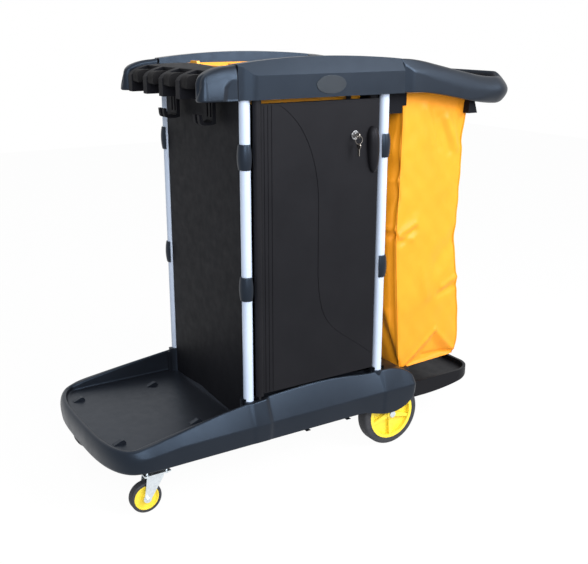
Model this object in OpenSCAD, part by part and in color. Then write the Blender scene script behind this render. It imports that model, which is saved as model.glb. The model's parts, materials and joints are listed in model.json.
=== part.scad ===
// Janitor cart: a moulded base with an open front deck, four tube posts, a cabinet
// with a locking door, a top frame with a broom rack and a push handle, a lift-out
// tool tray and a hung waste bag. Millimetres, +Z up, +X towards the push handle,
// -Y is the door side. The origin is on the floor, under the middle of the cart.

/* [Lengths] */
// From the nose of the deck to the front posts
nose_l = 366; // [350:2:400]
// Between the front and the rear posts
post_span_x = 390; // [380:5:430]
// From the rear posts to the end of the push handle
tail_l = 430; // [425:5:470]
// From the front posts to the front of the broom rack
rack_l = 119; // [112:1:128]
// From the rear posts back to the wheel axle
axle_setback = 40; // [36:1:50]
// Length of the waste bag, front to back
bag_l = 220; // [200:5:226]
// Length of the tool tray, front to back
tray_l = 306; // [220:2:310]
// Length of the bag tray behind the base
bag_tray_l = 242; // [220:2:270]

/* [Widths] */
// Across the skirts of the base
base_w = 492; // [440:2:560]
// From a skirt in to the post axes
post_inset = 38; // [36:0.5:42]
// From a skirt in to the outer face of a rail
rail_inset = 11; // [8:0.5:14]
// From a rail in to the waste bag
bag_inset = 59; // [57:1:72]
// From a skirt in to the side of the bag tray
bag_tray_inset = 58; // [58:1:76]

/* [Heights] */
// Top of the deck floor
deck_z = 160; // [156:1:162]
// Lower edge of the skirts
skirt_z = 118; // [112:1:124]
// Highest line of the base sides
crest_z = 227; // [222:1:232]
// Top of the cabinet floor
cabinet_z = 190; // [188:1:196]
// Underside of the rails
rail_z = 940; // [900:5:980]
// Height of the rails
rail_h = 91; // [88:1:100]
// Middle of the lower post clips
clip_low_z = 506; // [450:2:540]
// Middle of the upper post clips
clip_high_z = 814; // [760:2:830]
// Top of the inner shelf
shelf_z = 560; // [500:5:650]
// Bottom of the waste bag
bag_z = 187; // [170:1:240]
// Depth of the tool tray
tray_h = 79; // [60:1:84]

/* [Tubes and walls] */
// Diameter of a post
post_d = 25; // [22:0.5:26]
// Wall of a post tube
post_t = 1.5; // [1:0.1:3]
// Wall of the moulded base
base_t = 5; // [4:0.5:6]
// Wall of the moulded rails
rail_t = 5; // [4:0.5:7]
// Thickness of a fixed panel
panel_t = 12; // [8:0.5:12]
// Thickness of the door's edge
door_t = 16; // [14:0.5:17]
// Thickness of the door's skin
door_skin_t = 4; // [3:0.5:5]
// Wall of the tool tray
tray_t = 3; // [2:0.5:4]
// Wall of the waste bag
bag_t = 2; // [1.5:0.1:3]

/* [Wheels] */
// Diameter of a rear wheel
wheel_d = 175; // [170:1:177]
// Width of a rear tyre
wheel_w = 38; // [34:1:40]
// Diameter of a rear hub
hub_d = 139; // [130:1:146]
// Diameter of the rear axle
axle_d = 12; // [10:0.5:14]
// Diameter of a caster wheel
caster_d = 76; // [74:1:77]
// Width of a caster tyre
caster_w = 22; // [20:1:24]
// Diameter of a caster hub
caster_hub_d = 62; // [56:1:64]
// How far a caster wheel trails its swivel
caster_trail = 22; // [18:1:26]
// Height of a caster under its mounting pad
caster_h = 105; // [104:1:108]
// From the nose to the caster swivels
caster_setback = 114; // [108:1:150]
// From a skirt in to a caster swivel
caster_inset = 50; // [48:1:66]

/* [Door and lock] */
// Radius of the hinge barrel
barrel_r = 10.5; // [9:0.25:11]
// From the front posts to the hinge axis
hinge_dx = 27; // [27:0.5:30]
// Diameter of a hinge pin
pin_d = 8; // [6:0.5:9]
// Gap between the door and the rear posts
door_gap = 12; // [6:1:16]
// Height of the lock
lock_z = 846; // [800:2:870]
// From the free edge of the door to the lock
lock_dx = 73; // [66:1:90]
// Diameter of the lock's plug
plug_d = 12; // [10:0.5:13]

/* [Broom rack] */
// Number of tool holders
holders = 4; // [3:1:5]
// Free width beside the holders, between the rack's shoulders
rack_spare = 24; // [20:1:40]
// Width of a rack fin
fin_w = 22; // [16:1:26]
// Width of a rubber grip
grip_w = 34; // [26:1:38]
// Sideways place of each tool hook from the middle
hook_y = 97; // [80:1:120]

/* [Hidden] */
$fn = 64;

// Running fit, seat clearance and open gap between pieces
run_gap = 0.05;
seat_gap = 0.2;
free_gap = 0.3;

black = [0.12, 0.13, 0.15];
yellow = [1, 0.82, 0.1];
orange = [1, 0.72, 0.15];
zinc = [0.75, 0.78, 0.8];
rubber = [0.2, 0.2, 0.21];

// Places along the cart
total_l = nose_l + post_span_x + tail_l;
nose_x = -total_l / 2;
front_x = nose_x + nose_l;
rear_x = front_x + post_span_x;
tail_x = total_l / 2;
mid_x = (front_x + rear_x) / 2;
wheel_x = rear_x + axle_setback;
rack_x = front_x - rack_l;
post_r = post_d / 2;
part_gap = 9.5;
rail_x0 = front_x - post_r - part_gap;
rail_x1 = rear_x + post_r + 28.5;

// Places across the cart and up it
base_y = base_w / 2;
post_span_y = base_w - 2 * post_inset;
post_y = post_span_y / 2;
frame_w = base_w - 2 * rail_inset;
frame_y = frame_w / 2;
bag_w = frame_w - 2 * bag_inset;
bag_tray_w = base_w - 2 * bag_tray_inset;
caster_span = base_w - 2 * caster_inset;
top_z = rail_z + rail_h;
post_top_z = rail_z + 60;
socket_r = post_r + seat_gap;
boss_r = post_r + 8.5;
boss_top_z = crest_z + 1;
wheel_r = wheel_d / 2;
caster_r = caster_d / 2;

// Base outline
nose_round = 128;
nose_power = 3.2;
rim_w = 29;
nose_rim_w = 18;
rim_rise = 12;
crease_z = deck_z + 4;
facet_in = 21;
lobe_z = skirt_z - 21;
fender_x = wheel_x + 77;
beam_x = fender_x + 20;
well_l = 98;
well_y = base_y - 6;
well_in_y = base_y - 62;
well_z = wheel_d + 7;
post_seat_z = well_z + 3;
beam_y = well_in_y - 4;
bulge = 2;
bulge_r = 26;

// Top frame
shoulder_z = rail_z + 56;
crease_h = 53;
rail_in_y = frame_y - 61;
ledge_y = frame_y - 43;
crown_y = frame_y - 23;
crown_in_y = frame_y - 39;
arm_w = 48;
arm_end_w = 36;
arm_end_y = frame_y - arm_end_w;
waist_in = 12;
waist_l = 46;
scoop = 7;
cap_r = 19.5;
cap_in_y = frame_y - 2 * cap_r;
holder_pitch = (2 * cap_in_y - rack_spare) / holders;
carrier_t = 6;
carrier_z = shoulder_z + carrier_t;
tray_x0 = front_x + 37;
tray_half = rail_in_y - 2.5;
tray_flange = 8;
tray_lip = 3;
bin_gap = 14;
bin_x0 = tray_x0 + tray_l + bin_gap;
bin_x1 = rail_x1 - 10;
bin_y = rail_in_y - 8;
bin_h = 58;

// Panels and door
panel_half = post_y - 16;
front_panel_x = front_x - 7;
front_sill_z = deck_z + 4;
rear_panel_x = rear_x - 9;
far_panel_y = post_y - 3;
sill_gap = 8;
door_y = post_y + 13;
hinge_x = front_x + hinge_dx;
hinge_y = post_y + 8;
hinge_seat_z = crest_z + 3;
door_x1 = rear_x - post_r - door_gap;
door_z0 = crest_z + sill_gap;
door_z1 = rail_z - 10;
lock_x = door_x1 - lock_dx;

// Bag and its frame
bar_w = 8;
bar_h = 14;
bag_x0 = rear_x + 85;
bag_x1 = bag_x0 + bag_l;
bag_y = bag_w / 2;
frame_bar_y = bag_y + 2;
bag_top_z = rail_z - 22;
bag_tray_z = deck_z - 20;
bag_tray_h = 46;

// Points on a cubic curve from a to d, with handles b and c
function curve(a, b, c, d, n = 10) =
    [for (i = [0:n])
        let (t = i / n, s = 1 - t)
        s * s * s * a + 3 * s * s * t * b + 3 * s * t * t * c + t * t * t * d];

// Smooth step from 0 to 1 as v goes from a to b
function ease(v, a, b) =
    let (t = min(1, max(0, (v - a) / (b - a))))
    t * t * (3 - 2 * t);

// Signed power, for superellipses
function spow(v, p) = sign(v) * pow(abs(v), p);

// Extrudes an XZ profile across the cart, centred on the middle plane
module across(w) {
    rotate([90, 0, 0])
        linear_extrude(w, center = true)
            children();
}

// Extrudes a YZ profile along the cart
module along(x0, x1) {
    translate([x0, 0, 0])
        rotate([90, 0, 90])
            linear_extrude(x1 - x0)
                children();
}

// A box between two corners
module block(a, b) {
    translate(a)
        cube(b - a);
}

// A rod along Y
module rod_y(x, y0, y1, z, r) {
    translate([x, y0, z])
        rotate([-90, 0, 0])
            cylinder(h = y1 - y0, r = r);
}

// A closed skin through rings that all have the same number of points
module loft(rings) {
    n = len(rings);
    m = len(rings[0]);
    walls = [for (i = [0:n - 2], j = [0:m - 1])
        let (a = i * m + j, b = i * m + (j + 1) % m)
        each [[a, a + m, b], [b, a + m, b + m]]];
    ends = [[for (j = [0:m - 1]) j], [for (j = [m - 1:-1:0]) (n - 1) * m + j]];
    polyhedron([for (r = rings) each r], concat(walls, ends), convexity = 8);
}

// The same shape on the far side and the near side
module both_sides() {
    children();
    mirror([0, 1, 0])
        children();
}

module at_far(far) {
    mirror([0, far ? 0 : 1, 0])
        children();
}

// Base platform

// Plan of the base: a superellipse nose and straight sides
module base_plan(x_end, in_nose, in_side, n = 56) {
    a = nose_round - in_nose;
    b = base_y - in_side;
    nose = [for (i = [0:n])
        let (u = -90 + 180 * i / n)
        [nose_x + nose_round - a * pow(cos(u), 2 / nose_power), b * spow(sin(u), 2 / nose_power)]];
    polygon(concat(nose, [[x_end, b], [x_end, -b]]));
}

// Side view of the base: rising crest, round fender and drooping skirt lobe
module base_side() {
    rim_z = deck_z + rim_rise;
    dip_z = crest_z - 11;
    polygon(concat(
        curve([nose_x + 34, rim_z], [nose_x + 112, rim_z + 5],
              [front_x - 50, crest_z], [mid_x, crest_z], 20),
        curve([mid_x, crest_z], [mid_x + 70, crest_z],
              [rear_x - 80, dip_z + 2], [rear_x - 30, dip_z], 10),
        curve([rear_x - 30, dip_z], [rear_x - 5, dip_z - 1],
              [rear_x + 12, dip_z + 4], [rear_x + 30, dip_z + 2], 6),
        curve([rear_x + 30, dip_z + 2], [wheel_x + 30, dip_z - 2],
              [fender_x - 4, deck_z + 40], [fender_x, deck_z + 6], 12),
        curve([fender_x, deck_z + 6], [fender_x + 1, deck_z - 22],
              [wheel_x + 53, lobe_z], [wheel_x - 10, lobe_z], 14),
        curve([wheel_x - 10, lobe_z], [wheel_x - 50, lobe_z],
              [wheel_x - 75, skirt_z], [wheel_x - 123, skirt_z], 10),
        curve([nose_x + 10, skirt_z], [nose_x + 3, skirt_z + 6],
              [nose_x, deck_z - 24], [nose_x, deck_z - 8], 6),
        curve([nose_x, deck_z - 8], [nose_x, deck_z + 4],
              [nose_x + 10, rim_z - 1], [nose_x + 34, rim_z], 8)
    ));
}

// End view of the base: upright skirts that lean in above a soft crease
module base_end(inset) {
    w = base_y - inset;
    half = concat([[w - 3, 0]],
                  curve([w, crease_z - 10], [w, crease_z + 16],
                        [w - 6, crest_z - 22], [w - facet_in, crest_z + 8], 6));
    n = len(half);
    polygon(concat(half, [for (i = [n - 1:-1:0]) [-half[i][0], half[i][1]]]));
}

module base_envelope(inset) {
    intersection() {
        linear_extrude(crest_z + 20)
            base_plan(fender_x + 5, inset, inset);
        across(base_w + 20)
            base_side();
        along(nose_x - 10, fender_x + 10)
            base_end(inset);
    }
}

// The open underside, up to the deck floor in front and the cabinet floor behind
module base_cavity() {
    intersection() {
        base_envelope(base_t);
        union() {
            block([nose_x, -base_y, 0], [front_x, base_y, deck_z - base_t]);
            block([front_x - 1, -base_y, 0], [wheel_x + 50, base_y, cabinet_z - base_t]);
        }
    }
}

// Small ramped stop on the deck floor that keeps a bucket in place
module deck_stop(x, y) {
    translate([x, y, deck_z - 1])
        rotate([90, 0, 0])
            linear_extrude(12, center = true)
                polygon([[-16, 0], [14, 0], [14, 4], [9, 10], [4, 10], [-16, 2]]);
}

module caster_pad(far) {
    at_far(far)
        translate([nose_x + caster_setback, caster_span / 2, caster_h])
            block([-33, -33, 0], [33, 33, deck_z - caster_h - 1]);
}

module base_ribs() {
    rib_t = 5;
    for (y = [-1, 1] * 90)
        block([nose_x + 40, y - rib_t / 2, skirt_z + 8], [front_x, y + rib_t / 2, deck_z - 1]);
    for (x = [nose_x + 60, front_x - 110, front_x - 12])
        block([x, -base_y + rim_w, skirt_z + 8], [x + rib_t, base_y - rim_w, deck_z - 1]);
    for (x = [mid_x - 45, mid_x + 80])
        block([x, -base_y + 8, skirt_z - 7], [x + 14, base_y - 8, cabinet_z - 1]);
}

// Hollow cross beam behind the wheels that carries the bag tray
module rear_beam() {
    difference() {
        block([wheel_x + 30, -beam_y, skirt_z], [beam_x, beam_y, deck_z + 25]);
        block([wheel_x + 30 - 1, -beam_y + base_t, 0],
              [beam_x - base_t, beam_y - base_t, deck_z + 25 - base_t]);
    }
}

module base_platform() {
    color(black)
        difference() {
            union() {
                difference() {
                    base_envelope(0);
                    base_cavity();
                    linear_extrude(crest_z + 20)
                        intersection() {
                            base_plan(front_panel_x, nose_rim_w, rim_w);
                            translate([nose_x, -base_y])
                                square([front_panel_x - nose_x, base_w]);
                        }
                }
                intersection() {
                    base_envelope(1);
                    translate([0, 0, deck_z - base_t])
                        linear_extrude(base_t)
                            base_plan(front_x, base_t, base_t);
                }
                intersection() {
                    base_envelope(-bulge);
                    both_sides()
                        for (x = [front_x, rear_x])
                            translate([x, base_y + bulge - bulge_r, 0])
                                cylinder(h = crest_z, r = bulge_r);
                }
                both_sides()
                    for (x = [front_x, rear_x])
                        translate([x, post_y, skirt_z + 4])
                            cylinder(h = boss_top_z - skirt_z - 4, r = boss_r);
                translate([hinge_x, -hinge_y, skirt_z + 4])
                    cylinder(h = hinge_seat_z - skirt_z - 4, r = pin_d / 2 + 5);
                both_sides() {
                    deck_stop(nose_x + 57, base_y - 103);
                    deck_stop(front_x - 108, base_y - 111);
                    block([wheel_x - 26, well_in_y - 36, wheel_r - 18],
                          [wheel_x + 26, well_in_y, cabinet_z - 1]);
                }
                caster_pad(false);
                caster_pad(true);
                base_ribs();
                rear_beam();
            }
            block([front_panel_x - seat_gap, -panel_half - seat_gap, front_sill_z],
                  [front_panel_x + panel_t + seat_gap, panel_half + seat_gap, crest_z + 20]);
            block([front_panel_x + panel_t, -panel_half, cabinet_z],
                  [rear_panel_x, panel_half, crest_z + 20]);
            block([rear_panel_x - seat_gap, -panel_half - seat_gap, cabinet_z],
                  [rear_panel_x + panel_t + seat_gap, panel_half + seat_gap, crest_z + 20]);
            block([front_x + 24, far_panel_y - seat_gap, cabinet_z + 10],
                  [rear_x - 24, far_panel_y + panel_t + seat_gap, crest_z + 20]);
            both_sides() {
                block([wheel_x - well_l, well_in_y, 0], [wheel_x + well_l, well_y, well_z]);
                for (x = [front_x, rear_x])
                    translate([x, post_y, post_seat_z])
                        cylinder(h = crest_z, r = socket_r);
                translate([nose_x + caster_setback, caster_span / 2, caster_h - 1])
                    for (x = [-24, 24], y = [-24, 24])
                        translate([x, y, 0])
                            cylinder(h = 32, r = 3 + run_gap);
            }
            translate([hinge_x, -hinge_y, hinge_seat_z - 36])
                cylinder(h = 40, r = pin_d / 2 + run_gap / 2);
            rod_y(wheel_x, -base_y, base_y, wheel_r, axle_d / 2 + run_gap);
        }
}

// Shallow tray behind the wheels, under the bag
module bag_tray_plan(inset, x0) {
    r = 62 - inset;
    w = bag_tray_w / 2 - inset;
    x1 = beam_x + bag_tray_l - inset;
    difference() {
        translate([x0, -w])
            square([x1 - x0, 2 * w]);
        for (s = [-1, 1])
            translate([x1 - r, s * (w - r)])
                difference() {
                    translate([0, s > 0 ? 0 : -r - 1])
                        square(r + 1);
                    circle(r);
                }
    }
}

module rear_bag_tray() {
    z0 = bag_tray_z - bag_tray_h;
    x1 = beam_x + bag_tray_l;
    color(black)
        difference() {
            intersection() {
                translate([0, 0, z0])
                    linear_extrude(bag_tray_h)
                        bag_tray_plan(0, beam_x);
                across(bag_tray_w + 2)
                    polygon(concat(
                        [[beam_x, bag_tray_z], [beam_x, z0]],
                        curve([beam_x + 60, z0], [beam_x + 140, z0 + 2],
                              [x1 - 60, z0 + 12], [x1 - 12, z0 + 24]),
                        [[x1, z0 + 36], [x1 + 1, bag_tray_z]]
                    ));
            }
            translate([0, 0, bag_tray_z - 14])
                linear_extrude(30)
                    bag_tray_plan(base_t + 3, beam_x + base_t);
        }
}

// Posts and clips

module post(x, y) {
    color("white")
        translate([x, y, post_seat_z])
            difference() {
                cylinder(h = post_top_z - post_seat_z, r = post_r);
                translate([0, 0, -1])
                    cylinder(h = post_top_z - post_seat_z + 2, r = post_r - post_t);
            }
}

module post_front_near() { post(front_x, -post_y); }
module post_front_far() { post(front_x, post_y); }
module post_rear_near() { post(rear_x, -post_y); }
module post_rear_far() { post(rear_x, post_y); }

// Half collar with a bulged outer face, open towards the cabinet
module post_clip(x, y, z, facing) {
    h = 58;
    bulge_curve_r = 140;
    translate([x, y, z])
        rotate([0, 0, facing - 90])
            rotate_extrude(angle = 180)
                intersection() {
                    translate([post_r + seat_gap, -h / 2])
                        square([8, h]);
                    translate([post_r + 6 - bulge_curve_r, 0])
                        circle(bulge_curve_r, $fn = 256);
                }
}

module clip_pair(x, y, facing) {
    color(black)
        for (z = [clip_low_z, clip_high_z])
            post_clip(x, y, z, facing);
}

module clips_front_near() { clip_pair(front_x, -post_y, 210); }
module clips_front_far() { clip_pair(front_x, post_y, 135); }
module clips_rear_near() { clip_pair(rear_x, -post_y, 315); }
module clips_rear_far() { clip_pair(rear_x, post_y, 45); }

// Cabinet

// Tall pan: a skin with deep edges and cross ribs behind, and a shallow field in front
module field_panel(half, z0, z1, flip, field_h = 1.5) {
    skin = 4.5;
    edge = 26;
    bays = 4;
    pitch = (z1 - z0 - edge) / bays;
    mirror([flip ? 1 : 0, 0, 0])
        translate([flip ? -panel_t : 0, 0, 0])
            difference() {
                block([0, -half, z0], [panel_t, half, z1]);
                if (field_h > 0)
                    block([-1, -half + edge, z0 + 90], [field_h, half - edge, z1 - 60]);
                for (i = [0:bays - 1])
                    block([skin, -half + edge, z0 + edge + i * pitch],
                          [panel_t + 1, half - edge, z0 + (i + 1) * pitch]);
            }
}

module front_panel() {
    color(black)
        translate([front_panel_x, 0, 0])
            field_panel(panel_half, front_sill_z, rail_z - seat_gap, false, 0);
}

// Back panel with a jamb that the free edge of the door closes against
module rear_panel() {
    z0 = crest_z + 2;
    color(black)
        union() {
            translate([rear_panel_x, 0, 0])
                field_panel(panel_half, cabinet_z, rail_z - seat_gap, true);
            translate([rear_panel_x, -panel_half, z0])
                linear_extrude(rail_z - seat_gap - z0)
                    polygon([[2, 0], [2, 4], [-28, 4], [-28, -10], [-7, -10], [1, 0]]);
        }
}

module far_panel() {
    half = (post_span_x - 48) / 2 - seat_gap;
    color(black)
        translate([mid_x, far_panel_y, 0])
            rotate([0, 0, 90])
                field_panel(half, cabinet_z + 10, rail_z - seat_gap, true);
}

module inner_shelf() {
    t = 12;
    color(black)
        difference() {
            block([front_panel_x + panel_t + seat_gap, -panel_half + 10, shelf_z - t],
                  [rear_panel_x - seat_gap, far_panel_y - seat_gap, shelf_z]);
            block([front_panel_x + panel_t + 6, -panel_half + 16, shelf_z - t - 1],
                  [rear_panel_x - 6, far_panel_y - 6, shelf_z - 4]);
            for (x = [front_x, rear_x])
                translate([x, post_y, shelf_z - t - 1])
                    cylinder(h = t + 2, r = post_r + 8);
        }
}

// Top frame

// End view of one rail: upright face, sloped facet, crown and inner ledge
module rail_section() {
    polygon([[frame_y, rail_z], [frame_y, rail_z + crease_h], [crown_y, top_z],
             [crown_in_y, top_z], [ledge_y, shoulder_z], [rail_in_y, shoulder_z],
             [rail_in_y, rail_z]]);
}

module rail_cavity_section() {
    polygon([[frame_y - rail_t, rail_z - 1], [frame_y - rail_t, rail_z + crease_h - 2],
             [crown_y - 4, shoulder_z + 3], [ledge_y + rail_t, shoulder_z + 3],
             [ledge_y, shoulder_z - rail_t], [rail_in_y + rail_t, shoulder_z - rail_t],
             [rail_in_y + rail_t, rail_z - 1]]);
}

// Side view of the top frame: a round shoulder in front and a long low crown
module frame_side() {
    polygon(concat(
        [[rack_x, rail_z]],
        curve([rack_x, rail_z + 28], [rack_x, rail_z + 60],
              [rack_x + 38, rail_h - 18 + rail_z], [rail_x0 - 18, rail_h - 16 + rail_z], 12),
        curve([rail_x0 - 18, rail_h - 16 + rail_z], [front_x + 35, top_z - 6],
              [mid_x - 70, top_z], [mid_x + 10, top_z], 12),
        curve([mid_x + 10, top_z], [mid_x + 110, top_z],
              [rear_x + 5, top_z - 6], [rail_x1, top_z - 10], 12),
        [[rail_x1, rail_z]]
    ));
}

// End view of a rack shoulder: the outer part of the rail only
module cap_section() {
    intersection() {
        rail_section();
        translate([cap_in_y, 0])
            square([frame_y, top_z + 1]);
    }
}

// Plan of one rail: the outer face swells out of a waist at the rack
module rail_plan() {
    polygon(concat(
        [[rail_x1, rail_in_y - 1], [rail_x0, rail_in_y - 1]],
        curve([rail_x0, frame_y - waist_in], [rail_x0 + waist_l * 0.45, frame_y - waist_in],
              [rail_x0 + waist_l * 0.55, frame_y], [rail_x0 + waist_l, frame_y], 8),
        [[rail_x1, frame_y]]
    ));
}

module rail_bar() {
    intersection() {
        along(rail_x0, rail_x1)
            rail_section();
        across(frame_w + 2)
            frame_side();
        translate([0, 0, rail_z - 1])
            linear_extrude(rail_h + 2)
                rail_plan();
    }
}

// One side rail, with sockets for two post tops and, on the door side, the top hinge
module side_rail(hinge) {
    sx = hinge ? -1 : 1;
    difference() {
        union() {
            difference() {
                rail_bar();
                along(rail_x0 + waist_l, rail_x1 - rail_t)
                    rail_cavity_section();
            }
            intersection() {
                rail_bar();
                union() {
                    for (x = [front_x, rear_x])
                        translate([x, post_y, rail_z])
                            cylinder(h = rail_h, r = post_r + 6);
                    if (hinge)
                        translate([hinge_x, hinge_y, rail_z])
                            cylinder(h = 50, r = pin_d / 2 + 5);
                    if (hinge)
                        block([lock_x - 18, rail_in_y, rail_z], [lock_x + 18, rail_in_y + 30, rail_z + 8]);
                }
            }
        }
        for (x = [front_x, rear_x])
            translate([x, post_y, rail_z - 1])
                cylinder(h = post_top_z - rail_z + 1, r = socket_r);
        if (hinge)
            translate([hinge_x, hinge_y, rail_z - 1])
                cylinder(h = 29, r = pin_d / 2 + run_gap / 2);
    }
}

module near_rail() {
    color(black)
        mirror([0, 1, 0])
            side_rail(true);
}

module far_rail() {
    color(black)
        side_rail(false);
}

// Blank oval plate on the near rail
module blank_plate() {
    long_r = 41;
    aspect = 0.512;
    t = 1.2;
    color([0.25, 0.26, 0.28])
        translate([mid_x + 20, -frame_y, rail_z + 28])
            rotate([90, 0, 0])
                linear_extrude(t)
                    polygon([for (u = [0:7.5:352.5]) long_r * [cos(u), aspect * sin(u)]]);
}

// Middle of the front fins, counted from the far side
function fin_y(i) = (holders * holder_pitch) / 2 - 18 - i * holder_pitch;

// Crowned bar between the two shoulders of the rack, with fins reaching forward
module rack_side(x0) {
    polygon(concat(
        [[rail_x0, rail_z], [rail_x0, rail_z + 72]],
        curve([rail_x0 - 8, rail_z + 71], [rail_x0 - 40, rail_z + 64],
              [rack_x + 14, rail_z + 58], [rack_x + 5, rail_z + 40], 8),
        [[rack_x + 5, rail_z], [x0, rail_z]]
    ));
}

module rack_crown() {
    polygon(concat(
        [[-cap_in_y, rail_z], [cap_in_y, rail_z]],
        [for (i = [0:12]) let (y = cap_in_y * (1 - i / 6))
            [y, rail_z + 72 - 13 * pow(y / cap_in_y, 2)]]
    ));
}

module broom_rack() {
    bar_x = rail_x0 - 48;
    color(black)
        difference() {
            intersection() {
                along(rack_x, rail_x0)
                    rack_crown();
                across(frame_w)
                    rack_side(bar_x);
                union() {
                    block([bar_x, -frame_y, rail_z], [rail_x0, frame_y, top_z]);
                    for (i = [0:holders - 1])
                        block([rack_x, fin_y(i) - fin_w / 2, rail_z],
                              [bar_x + 1, fin_y(i) + fin_w / 2, top_z]);
                }
            }
            block([bar_x + 5, -cap_in_y + 6, rail_z - 1], [rail_x0 - 9, cap_in_y - 6, rail_z + 48]);
        }
}

// Side view of the scoop behind the S-shaped edge of a shoulder
module scoop_side() {
    polygon(concat(
        curve([rail_x0 - 42, rail_z - 1], [rail_x0 - 38, rail_z + 40],
              [rail_x0 - 30, rail_z + 48], [rail_x0 + 1, rail_z + 62], 8),
        [[rail_x0 + 1, rail_z - 1]]
    ));
}

// Round-nosed shoulder at each end of the rack, scooped towards the waist of the rail
module rack_cap(far) {
    color(black)
        at_far(far)
            difference() {
                intersection() {
                    along(rack_x, rail_x0)
                        cap_section();
                    across(frame_w + 2)
                        frame_side();
                    translate([0, 0, rail_z - 1])
                        linear_extrude(rail_h + 2)
                            union() {
                                translate([rack_x + cap_r, cap_in_y])
                                    square([rail_x0 - rack_x - cap_r, 2 * cap_r]);
                                translate([rack_x + cap_r, frame_y - cap_r])
                                    circle(cap_r);
                            }
                }
                translate([0, frame_y - scoop / 2, 0])
                    across(scoop)
                        scoop_side();
            }
}

module rack_cap_near() { rack_cap(false); }
module rack_cap_far() { rack_cap(true); }

// Soft block beside each fin that pinches a tool handle
module broom_grips() {
    bar_x = rail_x0 - 48;
    color(rubber)
        for (i = [0:holders - 1])
            translate([0, fin_y(i) - fin_w / 2, 0])
                rotate([90, 0, 0])
                    linear_extrude(grip_w)
                        polygon(concat(
                            [[bar_x, rail_z + 24], [bar_x, rail_z + 54]],
                            curve([rack_x + 24, rail_z + 54], [rack_x + 12, rail_z + 53],
                                  [rack_x + 7, rail_z + 48], [rack_x + 7, rail_z + 40], 5),
                            [[rack_x + 7, rail_z + 27], [rack_x + 10, rail_z + 24]]
                        ));
}

// U-shaped push handle: a closed sweep along its outer face that slopes down and turns across the tail
arm_steps = 10;
turn_steps = 8;
turn_r = 70;
arm_dip = 8;
facet_run = 0.56;
function handle_path() =
    let (xt = tail_x - turn_r, yt = frame_y - turn_r,
         arm = [for (i = [0:arm_steps]) rail_x1 + (xt - rail_x1) * pow(i / arm_steps, 1.4)])
    concat(
        [for (i = [0:arm_steps]) [arm[i], -frame_y, 0]],
        [for (i = [1:turn_steps])
            let (u = 90 * i / turn_steps)
            [xt + turn_r * sin(u), -yt - turn_r * cos(u), u]],
        [for (i = [turn_steps:-1:1])
            let (u = 90 * i / turn_steps)
            [xt + turn_r * sin(u), yt + turn_r * cos(u), 180 - u]],
        [for (i = [arm_steps:-1:0]) [arm[i], frame_y, 180]]
    );

// One ring of the handle, measured in from its outer face: upright face, sloped facet, round inner edge
function handle_ring(p) =
    let (x = p[0], y = p[1], u = p[2],
         zt = top_z - 10 - 44 * ease(x, rail_x1, tail_x - 90),
         zc = rail_z + crease_h - 49 * ease(x, rail_x1, tail_x - 70),
         zb = rail_z - 40 * ease(x, rail_x1 + 29, tail_x - 50),
         w = arm_w - (arm_w - arm_end_w) * ease(x, rail_x1, bag_x1 - 28),
         dip = arm_dip * (1 - ease(x, rail_x1, rail_x1 + 34)),
         soft = 1 + 8 * ease(x, rail_x1, rail_x1 + 150),
         cut = (zt - zc) * facet_run,
         side = [[-dip - soft, zb], [-dip, zb + soft], [-dip, zc + dip / facet_run],
                 [-cut, zt - soft * 0.3], [-cut - soft * 0.6, zt], [-w + 6 + soft * 0.5, zt],
                 [-w, zt - 10 - soft * 0.6], [-w, zb + soft], [-w + soft, zb]])
    [for (q = side) [x + q[0] * sin(u), y - q[0] * cos(u), q[1]]];

module push_handle() {
    path = handle_path();
    color(black)
        loft([for (i = [len(path) - 1:-1:0]) handle_ring(path[i])]);
}

// Flat carrier between the rails: one hole for the tool tray and one for the bin behind it
module top_carrier() {
    y = ledge_y - seat_gap;
    hole_y = tray_half + 2;
    color(black)
        difference() {
            block([rail_x0 + seat_gap, -y, shoulder_z], [rail_x1, y, carrier_z]);
            block([tray_x0 - 3, -hole_y, shoulder_z - 1],
                  [tray_x0 + tray_l + 3, hole_y, carrier_z + 1]);
            block([bin_x0 - seat_gap, -bin_y - seat_gap, shoulder_z - 1],
                  [bin_x1 + seat_gap, bin_y + seat_gap, carrier_z + 1]);
        }
}

// Drop-in bin that hangs in the carrier by a narrow flange
module top_bin() {
    wall = 3;
    flange = 5;
    color(black)
        difference() {
            union() {
                block([bin_x0, -bin_y, carrier_z - bin_h], [bin_x1, bin_y, carrier_z]);
                block([bin_x0 - flange, -bin_y - flange, carrier_z],
                      [bin_x1 + flange, bin_y + flange, carrier_z + 2]);
            }
            block([bin_x0 + wall, -bin_y + wall, carrier_z - bin_h + wall],
                  [bin_x1 - wall, bin_y - wall, carrier_z + 3]);
        }
}

// Lift-out tool tray with a rim that rests on the carrier and two lifting lugs
module tool_tray() {
    z1 = carrier_z + tray_lip;
    z0 = z1 - tray_h;
    f = tray_flange;
    color(orange)
        difference() {
            union() {
                block([tray_x0, -tray_half, z0], [tray_x0 + tray_l, tray_half, z1]);
                block([tray_x0 - f, -tray_half - f, carrier_z],
                      [tray_x0 + tray_l + f, tray_half + f, z1]);
                for (y = [-100, 100])
                    translate([tray_x0 - f, y, z1])
                        rotate([90, 0, 90])
                            linear_extrude(f)
                                intersection() {
                                    circle(19);
                                    translate([-20, -1])
                                        square([40, 9]);
                                }
            }
            block([tray_x0 + tray_t, -tray_half + tray_t, z0 + tray_t],
                  [tray_x0 + tray_l - tray_t, tray_half - tray_t, z1 + 20]);
        }
}

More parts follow.
